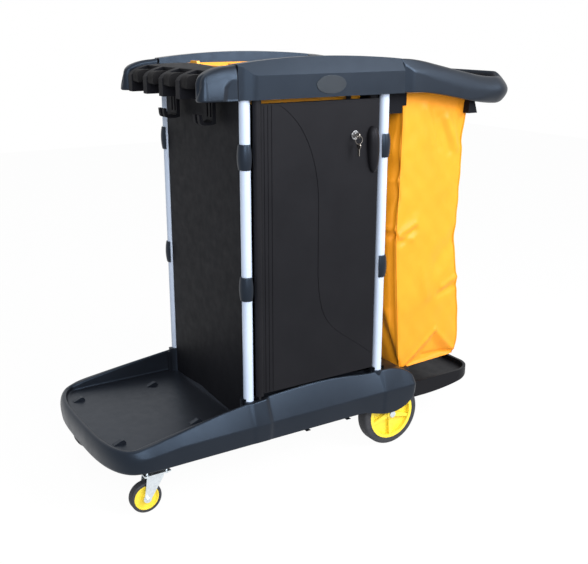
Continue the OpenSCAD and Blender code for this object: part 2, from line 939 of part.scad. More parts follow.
// J-shaped tool hook under the back edge of the rack
module tool_hook(y) {
    w = 34;
    slot = 11;
    x1 = rail_x0;
    z0 = rail_z - 63;
    color(black)
        translate([0, y, 0])
            difference() {
                rotate([90, 0, 0])
                    linear_extrude(w, center = true)
                        polygon(concat(
                            [[x1, rail_z], [x1 - 9, rail_z], [x1 - 9, z0 + 12]],
                            curve([x1 - 12, z0 + 8], [x1 - 20, z0 + 6],
                                  [x1 - 28, z0 + 7], [x1 - 33, z0 + 11], 6),
                            [[x1 - 36, z0 + 25], [x1 - 43, z0 + 25], [x1 - 42, z0 + 12]],
                            curve([x1 - 40, z0 + 5], [x1 - 32, z0],
                                  [x1 - 10, z0 - 1], [x1, z0 + 4], 6)
                        ));
                block([x1 - 50, -slot / 2, z0 - 5], [x1 - 24, slot / 2, rail_z - 20]);
                block([x1 - 12, 5, z0 + 18], [x1 - 6, w / 2 - 5, rail_z - 8]);
                block([x1 - 12, -w / 2 + 5, z0 + 18], [x1 - 6, -5, rail_z - 8]);
            }
}

module tool_hook_near() { tool_hook(-hook_y); }
module tool_hook_far() { tool_hook(hook_y); }

// Waste bag and its frame

module bag_frame() {
    color(black)
        difference() {
            block([bag_x0 - 2, -frame_bar_y, bag_top_z], [bag_x1 + 2, frame_bar_y, bag_top_z + bar_h]);
            block([bag_x0 - 2 + bar_w, -frame_bar_y + bar_w, bag_top_z - 1],
                  [bag_x1 + 2 - bar_w, frame_bar_y - bar_w, bag_top_z + bar_h + 1]);
        }
}

// Angle brackets from the rear panel to the front of the bag frame
module bag_front_brackets() {
    x0 = rear_panel_x + panel_t;
    t = 6;
    z1 = rail_z - 4;
    color(black)
        both_sides() {
            block([x0, frame_bar_y - 26, z1 - 50], [x0 + 5, frame_bar_y + t, z1]);
            translate([0, frame_bar_y + t, 0])
                rotate([90, 0, 0])
                    linear_extrude(t)
                        polygon([[x0, z1], [x0, z1 - 50], [bag_x0 - 8, z1 - 50],
                                 [bag_x0 - 8, z1 - 32], [bag_x0 + 5, z1 - 32], [bag_x0 + 5, z1]]);
        }
}

// Flared hooks from the handle arms to the back of the bag frame
module bag_rear_hooks() {
    x = bag_x1 - 8;
    color(black)
        both_sides()
            translate([0, arm_end_y, 0])
                rotate([90, 0, 0])
                    linear_extrude(arm_end_y - frame_bar_y)
                        polygon([[x - 8, bag_top_z + bar_h + 6], [x - 6, bag_top_z - 8],
                                 [x - 10, bag_top_z - 42], [x + 22, bag_top_z - 42],
                                 [x + 12, bag_top_z - 12], [x + 12, bag_top_z + bar_h + 6]]);
}

// One level ring of the bag, u from 0 at its foot to 1 at its hem
bag_levels = 10;
corner_steps = 5;
function bag_ring(u, inset) =
    let (belly = sin(180 * u), foot = pow(1 - u, 4), tuck = u == 0 ? 9 : 0,
         x0 = bag_x0 - 3 * belly + 18 * foot + tuck + inset,
         x1 = bag_x1 - 3 - 11 * belly + 18 * foot - tuck - inset,
         y1 = bag_y - 4 * belly - 3 * foot - tuck - inset,
         r = 16 - inset,
         z = bag_z + inset + u * (bag_top_z - bag_z - inset),
         at = [[x0 + r, -y1 + r], [x1 - r, -y1 + r], [x1 - r, y1 - r], [x0 + r, y1 - r]])
    [for (k = [0:3], i = [0:corner_steps])
        let (a = 180 + 90 * (k + i / corner_steps))
        [at[k][0] + r * cos(a), at[k][1] + r * sin(a), z]];

// Slack hollow bag with an open top
module waste_bag() {
    levels = [for (i = [0:bag_levels]) pow(i / bag_levels, 1.5)];
    color(orange)
        loft(concat(
            [for (i = [0:bag_levels]) bag_ring(levels[i], 0)],
            [for (i = [bag_levels:-1:0]) bag_ring(levels[i], bag_t)]
        ));
}

// Rear wheels

hub_w = wheel_w + 3;
wheel_out_y = well_y - 9;

module rear_axle() {
    color(zinc)
        rod_y(wheel_x, -wheel_out_y - 5, wheel_out_y + 5, wheel_r, axle_d / 2);
}

module axle_caps() {
    color(zinc)
        both_sides()
            difference() {
                rod_y(wheel_x, wheel_out_y + free_gap, wheel_out_y + 5, wheel_r, axle_d / 2 + 3);
                rod_y(wheel_x, wheel_out_y - 1, wheel_out_y + 6, wheel_r, axle_d / 2 + run_gap);
            }
}

// Dished wheel centre with a flat rim and radial ribs on its outer face
module rear_hub(far) {
    y1 = wheel_out_y;
    y0 = y1 - hub_w;
    ribs = 5;
    color(yellow)
        at_far(far)
            difference() {
                union() {
                    rod_y(wheel_x, y0 + 1, y1 - 1, wheel_r, hub_d / 2);
                    rod_y(wheel_x, well_in_y + free_gap, y1, wheel_r, axle_d / 2 + 8);
                }
                difference() {
                    rod_y(wheel_x, y1 - 12, y1 + 1, wheel_r, hub_d / 2 - 9);
                    rod_y(wheel_x, y1 - 13, y1 + 2, wheel_r, axle_d / 2 + 8);
                    for (i = [0:ribs - 1])
                        translate([wheel_x, y1 - 4, wheel_r])
                            rotate([90, 360 * i / ribs + 18, 0])
                                linear_extrude(10)
                                    polygon([[0, -9], [hub_d / 2, -3], [hub_d / 2, 3], [0, 9]]);
                }
                difference() {
                    rod_y(wheel_x, y0 - 1, y0 + 14, wheel_r, hub_d / 2 - 9);
                    rod_y(wheel_x, y0 - 2, y0 + 15, wheel_r, axle_d / 2 + 8);
                }
                rod_y(wheel_x, y0 - 20, y1 + 1, wheel_r, axle_d / 2 + run_gap);
            }
}

module rear_hub_near() { rear_hub(false); }
module rear_hub_far() { rear_hub(true); }

// Round-shouldered ring on a hub
module tyre(x, y, z, r_out, r_in, w, shoulder) {
    translate([x, y, z])
        rotate([90, 0, 0])
            rotate_extrude($fn = 96)
                union() {
                    translate([r_in, -w / 2])
                        square([r_out - r_in - shoulder, w]);
                    translate([r_in, -w / 2 + shoulder])
                        square([r_out - r_in, w - 2 * shoulder]);
                    for (s = [-1, 1])
                        translate([r_out - shoulder, s * (w / 2 - shoulder)])
                            circle(shoulder);
                }
}

module rear_tyre(far) {
    color(rubber)
        at_far(far)
            tyre(wheel_x, wheel_out_y - hub_w / 2, wheel_r, wheel_r, hub_d / 2 + run_gap, wheel_w, 7);
}

module rear_tyre_near() { rear_tyre(false); }
module rear_tyre_far() { rear_tyre(true); }

// Casters

plate_t = 3;
race_h = 5;
king_d = 10;
fork_t = 2.5;
fork_gap = caster_w / 2 + 3.5;
caster_bolt_d = 8;

module at_caster(far) {
    at_far(far)
        translate([nose_x + caster_setback, caster_span / 2, 0])
            children();
}

// Mounting plate with its ball race and swivel rivet
module caster_plate(far) {
    z = caster_h - plate_t;
    color(zinc)
        at_caster(far)
            difference() {
                union() {
                    block([-33, -33, z], [33, 33, caster_h]);
                    translate([0, 0, z - race_h])
                        cylinder(h = race_h, r = 17);
                    translate([0, 0, z - race_h - 8])
                        cylinder(h = 9, r = king_d / 2);
                    translate([0, 0, z - race_h - 10])
                        cylinder(h = 3, r = king_d / 2 + 3);
                }
                for (x = [-24, 24], y = [-24, 24])
                    translate([x, y, z - 1])
                        cylinder(h = plate_t + 2, r = 3.2);
            }
}

module caster_plate_near() { caster_plate(false); }
module caster_plate_far() { caster_plate(true); }

module caster_bolts() {
    color(zinc)
        for (far = [false, true])
            at_caster(far)
                for (x = [-24, 24], y = [-24, 24])
                    translate([x, y, caster_h - plate_t - 4]) {
                        cylinder(h = 4, r = 5.5, $fn = 6);
                        cylinder(h = 30, r = 3);
                    }
}

// Pressed fork: a round top with two tapered legs that trail to the wheel
module caster_fork(far) {
    z1 = caster_h - plate_t - race_h - free_gap;
    t = fork_t;
    color(zinc)
        at_caster(far)
            difference() {
                union() {
                    translate([0, 0, z1 - t])
                        cylinder(h = t, r = 24);
                    block([-20, -fork_gap - t, z1 - t], [20, fork_gap + t, z1]);
                    for (s = [-1, 1])
                        translate([0, s * (fork_gap + t / 2), 0])
                            rotate([90, 0, 0])
                                linear_extrude(t, center = true)
                                    union() {
                                        polygon([[-20, z1], [20, z1], [20, z1 - 10],
                                                 [-caster_trail + 9, caster_r - 2],
                                                 [-caster_trail - 9, caster_r - 2], [-20 - 9, caster_r + 8]]);
                                        translate([-caster_trail, caster_r])
                                            circle(10);
                                    }
                }
                translate([0, 0, z1 - t - 1])
                    cylinder(h = t + 2, r = king_d / 2 + run_gap);
                rod_y(-caster_trail, -40, 40, caster_r, caster_bolt_d / 2 + run_gap);
            }
}

module caster_fork_near() { caster_fork(false); }
module caster_fork_far() { caster_fork(true); }

module caster_pin(far) {
    y = fork_gap + fork_t + free_gap;
    color(zinc)
        at_caster(far)
            union() {
                rod_y(-caster_trail, -y - 5, y + 5, caster_r, caster_bolt_d / 2);
                for (y0 = [-y - 4, y])
                    translate([-caster_trail, y0, caster_r])
                        rotate([-90, 0, 0])
                            cylinder(h = 4, r = 6.5, $fn = 6);
            }
}

module caster_pin_near() { caster_pin(false); }
module caster_pin_far() { caster_pin(true); }

module caster_hub(far) {
    y = caster_w / 2 + 2;
    color(yellow)
        at_caster(far)
            difference() {
                union() {
                    rod_y(-caster_trail, -caster_w / 2 + 1, caster_w / 2 - 1, caster_r, caster_hub_d / 2);
                    rod_y(-caster_trail, -y, y, caster_r, 9);
                }
                both_sides()
                    difference() {
                        rod_y(-caster_trail, caster_w / 2 - 4, caster_w, caster_r, caster_hub_d / 2 - 4);
                        rod_y(-caster_trail, 0, caster_w, caster_r, 12);
                    }
                rod_y(-caster_trail, -y - 1, y + 1, caster_r, caster_bolt_d / 2 + run_gap);
            }
}

module caster_hub_near() { caster_hub(false); }
module caster_hub_far() { caster_hub(true); }

module caster_tyre(far) {
    color(rubber)
        at_caster(far)
            tyre(-caster_trail, 0, caster_r, caster_r, caster_hub_d / 2 + run_gap, caster_w, 3);
}

module caster_tyre_near() { caster_tyre(false); }
module caster_tyre_far() { caster_tyre(true); }

// Door, lock and key

module hinge_pins() {
    color(zinc)
        translate([hinge_x, -hinge_y, 0]) {
            translate([0, 0, hinge_seat_z - 36])
                cylinder(h = 76, r = pin_d / 2);
            translate([0, 0, rail_z - 40])
                cylinder(h = 68, r = pin_d / 2);
        }
}

// Raised field of the door, bounded by a long S-shaped edge
module door_field() {
    x0 = hinge_x + barrel_r;
    w = door_x1 - x0;
    h = door_z1 - door_z0;
    polygon(concat(
        curve([x0 + 0.14 * w, door_z1 - 4], [x0 + 0.34 * w, door_z1 - 0.06 * h],
              [x0 + 0.46 * w, door_z1 - 0.18 * h], [x0 + 0.47 * w, door_z1 - 0.34 * h], 12),
        curve([x0 + 0.47 * w, door_z0 + 0.4 * h], [x0 + 0.49 * w, door_z0 + 0.18 * h],
              [x0 + 0.62 * w, door_z0 + 0.2 * h], [door_x1 - 5, door_z0 + 0.06 * h], 12),
        [[door_x1 - 5, door_z1 - 4]]
    ));
}

module door_panel() {
    x0 = hinge_x;
    emboss = 1.2;
    seat = barrel_r + 2;
    color(black)
        difference() {
            union() {
                difference() {
                    block([x0, -door_y, door_z0], [door_x1, -door_y + door_t, door_z1]);
                    block([x0 + barrel_r + 8, -door_y + door_skin_t, door_z0 + door_skin_t],
                          [door_x1 - door_skin_t, -door_y + door_t + 1, door_z1 - door_skin_t]);
                }
                translate([0, -door_y + 0.5, 0])
                    rotate([90, 0, 0])
                        linear_extrude(emboss + 0.5)
                            door_field();
                for (i = [0:2])
                    block([x0 + seat + 3 + 10 * i, -door_y - emboss, door_z0 + 3],
                          [x0 + seat + 7 + 10 * i, -door_y + 1, door_z1 - 3]);
                translate([hinge_x, -hinge_y, hinge_seat_z + free_gap])
                    cylinder(h = rail_z - hinge_seat_z - 2 * free_gap, r = barrel_r);
            }
            translate([hinge_x, -hinge_y, hinge_seat_z])
                cylinder(h = 41, r = pin_d / 2 + run_gap);
            translate([hinge_x, -hinge_y, rail_z - 41])
                cylinder(h = 41, r = pin_d / 2 + run_gap);
            rod_y(lock_x, -door_y - 5, -door_y + door_skin_t + 1, lock_z, plug_d / 2 + 3.5 + run_gap);
        }
}

// Drop-shaped pull on the door's face
module door_pull() {
    pull_h = 114;
    x = door_x1 - 27;
    z = lock_z - 38;
    y = -door_y - 1.2;
    color(black)
        intersection() {
            hull() {
                translate([x, y, z + pull_h / 2 - 18])
                    scale([1, 1.15, 1])
                        sphere(18, $fn = 32);
                translate([x + 3, y, z - pull_h / 2 + 6])
                    sphere(6, $fn = 24);
            }
            block([x - 40, y - 40, z - pull_h], [x + 40, y, z + pull_h]);
        }
}

module lock_body() {
    color("silver")
        difference() {
            union() {
                rod_y(lock_x, -door_y - 1.2, -door_y + 28, lock_z, plug_d / 2 + 3.5);
                rod_y(lock_x, -door_y - 5, -door_y - 1.2, lock_z, plug_d / 2 + 5);
            }
            rod_y(lock_x, -door_y - 6, -door_y + 30, lock_z, plug_d / 2 + run_gap);
        }
}

key_t = 2;
bow_y = door_y + 22.5;
bow_r = 7.5;
ring_r = 10;
wire_r = 0.8;
eye_r = wire_r + 0.6;
cam_y = -door_y + 30;

// Turning plug, with its tail through the cam
module lock_plug() {
    color("silver")
        difference() {
            union() {
                rod_y(lock_x, -door_y - 6, cam_y, lock_z, plug_d / 2);
                rod_y(lock_x, cam_y, cam_y + 6, lock_z, 3);
            }
            block([lock_x - key_t / 2 - seat_gap, -door_y - 7, lock_z - 3 - seat_gap],
                  [lock_x + key_t / 2 + seat_gap, -door_y + 1.5, lock_z + 3 + seat_gap]);
        }
}

// Latch arm that turns up behind the strike
module lock_cam() {
    color(zinc)
        translate([lock_x, cam_y + 3, lock_z])
            rotate([90, 0, 0])
                linear_extrude(3)
                    difference() {
                        union() {
                            circle(8);
                            translate([-46, -7])
                                square([46, 14]);
                            translate([-46, 0])
                                circle(7);
                        }
                        circle(3 + run_gap / 2);
                    }
}

module lock_strike() {
    y1 = cam_y - 2;
    color(zinc)
        union() {
            block([lock_x - 15, y1 - 3, lock_z + 36], [lock_x + 15, y1, door_z1 - 4]);
            block([lock_x - 6, y1 - 3, lock_z + 36], [lock_x + 6, y1, rail_z]);
            block([lock_x - 15, y1 - 3, rail_z - 2], [lock_x + 15, y1 + 14, rail_z]);
        }
}

// Flat key with a round bow; the blade stops in the plug's slot
module key_blank(blade) {
    difference() {
        union() {
            circle(bow_r);
            translate([0, -3])
                square([blade, 6]);
        }
        translate([-bow_r + 3.2, 0])
            circle(eye_r);
    }
}

module door_key() {
    color(zinc)
        translate([lock_x - key_t / 2, -bow_y + bow_r, lock_z])
            rotate([90, 0, 90])
                linear_extrude(key_t)
                    key_blank(bow_y - bow_r - door_y + 1.5 - free_gap);
}

eye_y = -bow_y + 3.2;

module key_ring() {
    color("silver")
        translate([lock_x, eye_y, lock_z - ring_r])
            rotate([90, 0, 0])
                rotate_extrude($fn = 64)
                    translate([ring_r, 0])
                        circle(wire_r, $fn = 24);
}

module spare_key() {
    color(zinc)
        translate([lock_x - key_t / 2, eye_y, lock_z - 2 * ring_r])
            rotate([0, 90, 0])
                linear_extrude(key_t)
                    translate([bow_r - 3.2, 0])
                        key_blank(24);
}

base_platform();
rear_bag_tray();
post_front_near();
post_front_far();
post_rear_near();
post_rear_far();
clips_front_near();
clips_front_far();
clips_rear_near();
clips_rear_far();
front_panel();
rear_panel();
far_panel();
inner_shelf();
near_rail();
far_rail();
broom_rack();
rack_cap_near();
rack_cap_far();
broom_grips();
push_handle();
top_carrier();
top_bin();
tool_tray();
tool_hook_near();
tool_hook_far();
blank_plate();
bag_frame();
bag_front_brackets();
bag_rear_hooks();
waste_bag();
rear_axle();
axle_caps();
rear_hub_near();
rear_hub_far();
rear_tyre_near();
rear_tyre_far();
caster_plate_near();
caster_plate_far();
caster_bolts();
caster_fork_near();
caster_fork_far();
caster_pin_near();
caster_pin_far();
caster_hub_near();
caster_hub_far();
caster_tyre_near();
caster_tyre_far();
hinge_pins();
door_panel();
door_pull();
lock_body();
lock_plug();
lock_cam();
lock_strike();
door_key();
key_ring();
spare_key();
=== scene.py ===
"""Looks of the janitor cart: finishes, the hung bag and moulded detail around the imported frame."""
import json
import logging
import math
from dataclasses import dataclass, field
from enum import Enum

import bpy
import numpy as np
from mathutils import Matrix, Vector


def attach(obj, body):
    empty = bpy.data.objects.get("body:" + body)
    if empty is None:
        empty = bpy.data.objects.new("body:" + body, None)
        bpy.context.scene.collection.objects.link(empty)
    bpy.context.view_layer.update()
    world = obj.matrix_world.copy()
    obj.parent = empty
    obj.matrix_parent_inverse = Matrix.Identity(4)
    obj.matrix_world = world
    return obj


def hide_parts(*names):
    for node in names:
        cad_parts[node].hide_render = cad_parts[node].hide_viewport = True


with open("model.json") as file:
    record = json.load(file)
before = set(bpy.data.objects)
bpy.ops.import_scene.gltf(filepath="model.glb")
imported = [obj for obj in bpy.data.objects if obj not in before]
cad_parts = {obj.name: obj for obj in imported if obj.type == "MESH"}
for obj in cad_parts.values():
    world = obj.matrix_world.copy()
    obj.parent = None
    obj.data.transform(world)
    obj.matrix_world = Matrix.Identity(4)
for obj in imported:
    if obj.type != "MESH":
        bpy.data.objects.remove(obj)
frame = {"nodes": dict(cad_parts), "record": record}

LOG = logging.getLogger("janitor_cart")
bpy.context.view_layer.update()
MM = 0.001
CURVE_STEPS = 60
GREY_SPAN = (0.25, 0.75)
TONE_SPAN = (0.3, 0.7)

Colour = tuple[float, float, float]
Place = tuple[float, float, float]
Pair = tuple[float, float]
Row = tuple[float, ...]
Curves = tuple[tuple[Pair, ...], ...]
Array = np.ndarray
Socket = bpy.types.NodeSocket
Material = bpy.types.Material
Piece = bpy.types.Object


class Body(str, Enum):
    """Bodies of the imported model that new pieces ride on."""

    CHASSIS = "chassis"
    DOOR = "door"


class Slot(str, Enum):
    """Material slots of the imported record."""

    PLASTIC = "black_plastic"
    TUBE = "white_tube"
    GRIP = "grip_rubber"
    TRAY = "yellow_tray"
    PLATE = "grey_plate"
    CLOTH = "bag_cloth"
    ZINC = "zinc_steel"
    HUB = "yellow_hub"
    TYRE = "tyre_rubber"
    CHROME = "lock_chrome"


class NodeSketch:
    """Small helper that lays out the nodes of one material."""

    def __init__(self, name: str) -> None:
        """Start an empty node material.

        Args:
            name: Name of the material.
        """
        self.material = bpy.data.materials.new(name)
        self.material.use_nodes = True
        self.tree = self.material.node_tree
        self.shader = self.tree.nodes["Principled BSDF"]
        self.coords = self.tree.nodes.new("ShaderNodeTexCoord")

    def link(self, out: Socket, into: Socket) -> None:
        """Join one socket to another."""
        self.tree.links.new(out, into)

    def set(self, **values: float | Colour) -> None:
        """Set constants on the shader's own sockets.

        Args:
            values: Socket names with spaces as underscores, and their values.
        """
        for key, value in values.items():
            socket = self.shader.inputs[key.replace("_", " ")]
            socket.default_value = (*value, 1.0) if socket.type == "RGBA" else value

    def noise(self, scale: float, detail: float = 2.0, rough: float = 0.5, uv: bool = False,
              stretch: Place = (1.0, 1.0, 1.0)) -> Socket:
        """Add a noise pattern on Object coordinates, or on the piece's own UV map.

        Args:
            scale: Cells a metre, or cells a unit of UV.
            detail: Octaves of finer noise.
            rough: Strength of the finer octaves.
            uv: True to follow the UV map.
            stretch: Scale of each axis before the noise.

        Returns:
            The noise's grey output.
        """
        place = self.tree.nodes.new("ShaderNodeMapping")
        place.inputs["Scale"].default_value = stretch
        self.link(self.coords.outputs["UV" if uv else "Object"], place.inputs["Vector"])
        node = self.tree.nodes.new("ShaderNodeTexNoise")
        node.inputs["Scale"].default_value = scale
        node.inputs["Detail"].default_value = detail
        node.inputs["Roughness"].default_value = rough
        self.link(place.outputs["Vector"], node.inputs["Vector"])
        return node.outputs["Fac"]

    def threads(self, scale: float, direction: str) -> Socket:
        """Add the straight waves of a weave, on the piece's own UV map.

        Args:
            scale: Waves a metre over about 2 pi, as the node counts them.
            direction: Axis that the waves run across.

        Returns:
            The wave's grey output.
        """
        node = self.tree.nodes.new("ShaderNodeTexWave")
        node.bands_direction = direction
        node.inputs["Scale"].default_value = scale
        self.link(self.coords.outputs["UV"], node.inputs["Vector"])
        return node.outputs["Fac"]

    def tint(self, fac: Socket, dark: Colour, light: Colour) -> None:
        """Vary the base colour between two tones.

        Args:
            fac: Grey input.
            dark: Tone where the input is dark.
            light: Tone where the input is light.
        """
        ramp = self.tree.nodes.new("ShaderNodeValToRGB")
        for stop, at, tone in zip(ramp.color_ramp.elements, TONE_SPAN, (dark, light)):
            stop.position = at
            stop.color = (*tone, 1.0)
        self.link(fac, ramp.inputs["Fac"])
        self.link(ramp.outputs["Color"], self.shader.inputs["Base Color"])

    def gloss(self, fac: Socket, low: float, high: float) -> None:
        """Vary the roughness over the middle half of a grey input.

        Args:
            fac: Grey input.
            low: Roughness at the dark end.
            high: Roughness at the light end.
        """
        node = self.tree.nodes.new("ShaderNodeMapRange")
        names = ("From Min", "From Max", "To Min", "To Max")
        for name, value in zip(names, (*GREY_SPAN, low, high)):
            node.inputs[name].default_value = value
        self.link(fac, node.inputs["Value"])
        self.link(node.outputs["Result"], self.shader.inputs["Roughness"])

    def bump(self, height: Socket, depth: float, strength: float) -> None:
        """Add a bump, on top of any that is there.

        Args:
            height: Grey height.
            depth: Height of white over black, in metres.
            strength: Share of the bump that shows.
        """
        node = self.tree.nodes.new("ShaderNodeBump")
        node.inputs["Strength"].default_value = strength
        node.inputs["Distance"].default_value = depth
        self.link(height, node.inputs["Height"])
        into = self.shader.inputs["Normal"]
        if into.links:
            self.link(into.links[0].from_socket, node.inputs["Normal"])
        self.link(node.outputs["Normal"], into)


@dataclass(frozen=True)
class Finish:
    """What every finish has: its name, two tones and a span of roughness to drift over."""

    name: str
    dark: Colour
    light: Colour
    rough: Pair


@dataclass(frozen=True)
class MouldedPlastic(Finish):
    """Injection-moulded plastic with a fine eroded grain and slow tone changes."""

    grain: float = 0.0009
    grain_depth: float = 0.00004
    specular: float = 0.5
    gloss_tint: Colour = (1.0, 1.0, 1.0)

    def make(self) -> Material:
        """Build the material: slow tone noise, patchy gloss and grain bump.

        Returns:
            The new material.
        """
        n = NodeSketch(self.name)
        n.set(Specular_IOR_Level=self.specular, Specular_Tint=self.gloss_tint)
        n.tint(n.noise(scale=9.0, detail=3.0), self.dark, self.light)
        n.gloss(n.noise(scale=38.0, detail=4.0, rough=0.6), *self.rough)
        n.bump(n.noise(scale=1.0 / self.grain), depth=self.grain_depth, strength=0.6)
        return n.material


@dataclass(frozen=True)
class Metal(Finish):
    """Bare or plated metal with faint drawn lines and smears."""

    lines: float = 900.0

    def make(self) -> Material:
        """Build the material: spangle tone, smeared gloss and fine lines.

        Returns:
            The new material.
        """
        n = NodeSketch(self.name)
        n.set(Metallic=1.0)
        n.tint(n.noise(scale=140.0, detail=3.0, rough=0.65), self.dark, self.light)
        n.gloss(n.noise(scale=60.0, detail=3.0), *self.rough)
        drawn = n.noise(scale=self.lines, detail=1.0, stretch=(1.0, 1.0, 0.06))
        n.bump(drawn, depth=0.00003, strength=0.5)
        return n.material


@dataclass(frozen=True)
class Rubber(Finish):
    """Matt rubber with a dusty bloom and a coarse skin."""

    rough: Pair = (0.62, 0.82)
    specular: float = 0.4

    def make(self) -> Material:
        """Build the material: bloom tone, dull gloss and pitted bump.

        Returns:
            The new material.
        """
        n = NodeSketch(self.name)
        n.set(Specular_IOR_Level=self.specular)
        n.tint(n.noise(scale=55.0, detail=4.0, rough=0.7), self.dark, self.light)
        n.gloss(n.noise(scale=90.0, detail=3.0), *self.rough)
        n.bump(n.noise(scale=1400.0), depth=0.00006, strength=0.7)
        return n.material


@dataclass(frozen=True)
class CoatedCloth(Finish):
    """Woven cloth under a smooth coating; the weave follows the piece's UV map in metres."""

    rough: Pair = (0.42, 0.56)
    thread: float = 0.0011

    def make(self) -> Material:
        """Build the material: soft tone changes, crossed threads and small crumples.

        Returns:
            The new material.
        """
        n = NodeSketch(self.name)
        n.set(Specular_IOR_Level=0.3, Sheen_Weight=0.04, Sheen_Roughness=0.5, Coat_Weight=0.06,
              Coat_Roughness=0.4)
        n.tint(n.noise(scale=7.0, detail=4.0, rough=0.6), self.dark, self.light)
        n.gloss(n.noise(scale=30.0, detail=3.0), *self.rough)
        n.bump(n.noise(scale=24.0, detail=4.0, rough=0.6, uv=True), depth=0.0022, strength=0.35)
        for direction in ("X", "Y"):
            weave = n.threads(math.pi / 10.0 / self.thread, direction)
            n.bump(weave, depth=0.00008, strength=0.5)
        return n.material


FINISHES = {
    Slot.PLASTIC: MouldedPlastic(
        "satin_black", (0.0052, 0.0058, 0.0078), (0.0072, 0.008, 0.0105), (0.33, 0.43),
        specular=0.35, gloss_tint=(0.48, 0.69, 1.0)),
    Slot.TUBE: MouldedPlastic(
        "white_tube", (0.42, 0.495, 0.63), (0.47, 0.545, 0.68), (0.2, 0.3),
        grain=0.002, grain_depth=0.00002),
    # Grip rubber, darker and less glossy than the tyre rubber: partly the grips' own black, partly
    # painted shade of the rack's dark notches.
    Slot.GRIP: Rubber("grip_rubber", (0.004, 0.004, 0.005), (0.007, 0.007, 0.008), specular=0.12),
    # Yellow tray plastic, deepened towards orange throughout as painted shade for the strip that
    # lies in shade under the rail.
    Slot.TRAY: MouldedPlastic("tray_orange_painted_shade", (0.82, 0.33, 0.014), (0.88, 0.39, 0.02), (0.32, 0.42)),
    Slot.PLATE: MouldedPlastic(
        "grey_plate", (0.009, 0.0095, 0.012), (0.012, 0.0125, 0.015), (0.3, 0.38),
        gloss_tint=(0.7, 0.85, 1.0)),
    Slot.CLOTH: CoatedCloth("coated_cloth", (0.71, 0.252, 0.007), (0.75, 0.292, 0.011)),
    Slot.ZINC: Metal("zinc_plate", (0.62, 0.67, 0.71), (0.8, 0.86, 0.9), (0.36, 0.5)),
    Slot.HUB: MouldedPlastic("yellow_hub", (0.7, 0.52, 0.028), (0.74, 0.57, 0.043), (0.28, 0.38)),
    Slot.TYRE: Rubber("tyre_rubber", (0.018, 0.019, 0.023), (0.03, 0.031, 0.036)),
    Slot.CHROME: Metal(
        "lock_chrome", (0.34, 0.35, 0.37), (0.44, 0.45, 0.47), (0.16, 0.26), lines=300.0),
}
# Darkened steel for the zinc hinge pins: painted shade, so that they sink into the dark gap between
# door and rim.
SHADE_DARKENED_STEEL = Metal("steel_darkened_for_shade", (0.03, 0.03, 0.032), (0.05, 0.05, 0.053), (0.4, 0.52))
AGED_STEEL = Metal("aged_steel", (0.15, 0.14, 0.13), (0.24, 0.22, 0.2), (0.3, 0.44))
# Darker, duller copy of the black plastic for the parts that sit in shade: its darker tone and
# weaker gloss are painted shade.
SHADED_BLACK = MouldedPlastic(
    "shaded_black", (0.0038, 0.0039, 0.0052), (0.0056, 0.0057, 0.0074), (0.5, 0.64),
    specular=0.09, gloss_tint=(0.8, 0.86, 1.0))
PANEL_BLACK = MouldedPlastic(
    "panel_black", (0.0042, 0.0042, 0.0052), (0.0058, 0.0058, 0.007), (0.42, 0.54),
    specular=0.14, gloss_tint=(0.86, 0.88, 1.0))


def make_mesh(name: str, points: Array, faces: Array | list, uv: Array | None = None,
              smooth: bool = True) -> Piece:
    """Put points and faces into a new object at the origin.

    Args:
        name: Name of the piece.
        points: N x 3 points in metres.
        faces: Faces as rows of point numbers, or a list of such arrays.
        uv: N x 2 texture place of each point, or None.
        smooth: True to shade it smooth.

    Returns:
        The new object, linked to the scene.
    """
    groups = faces if isinstance(faces, list) else [faces]
    rows = [row for group in groups for row in np.asarray(group).tolist()]
    mesh = bpy.data.meshes.new(name)
    mesh.from_pydata(np.asarray(points, float).reshape(-1, 3).tolist(), [], rows)
    mesh.polygons.foreach_set("use_smooth", np.full(len(mesh.polygons), smooth))
    if uv is not None:
        index = np.zeros(len(mesh.loops), np.int32)
        mesh.loops.foreach_get("vertex_index", index)
        layer = mesh.uv_layers.new(name="flat")
        layer.data.foreach_set("uv", np.asarray(uv, np.float32)[index].ravel())
    mesh.update()
    obj = bpy.data.objects.new(name, mesh)
    bpy.context.scene.collection.objects.link(obj)
    return obj


def grid_faces(rows: int, cols: int, wrap: bool = False) -> Array:
    """Quads of a grid of rows x cols points, row by row.

    Args:
        rows: Number of rows.
        cols: Points in a row.
        wrap: True to join each row's end to its start.

    Returns:
        An array of quads.
    """
    span = cols if wrap else cols - 1
    i, j = np.meshgrid(np.arange(rows - 1), np.arange(span), indexing="ij")
    k = (j + 1) % cols
    quads = [i * cols + j, i * cols + k, (i + 1) * cols + k, (i + 1) * cols + j]
    return np.stack(quads, -1).reshape(-1, 4)


def ring_ends(rows: int, cols: int) -> list[list[int]]:
    """Flat faces that close the first and the last row of a wrapped grid.

    Args:
        rows: Number of rows.
        cols: Points in a row.

    Returns:
        The two faces.
    """
    return [list(range(cols))[::-1], list(range((rows - 1) * cols, rows * cols))]


def closed_sweep(name: str, points: Array) -> Piece:
    """Make a piece from closed rows of points in millimetres, with both end rows filled.

    Args:
        name: Name of the piece.
        points: Rows x points x 3 array.

    Returns:
        The new object.
    """
    rows, cols = points.shape[:2]
    return make_mesh(name, points * MM, [grid_faces(rows, cols, True), ring_ends(rows, cols)])


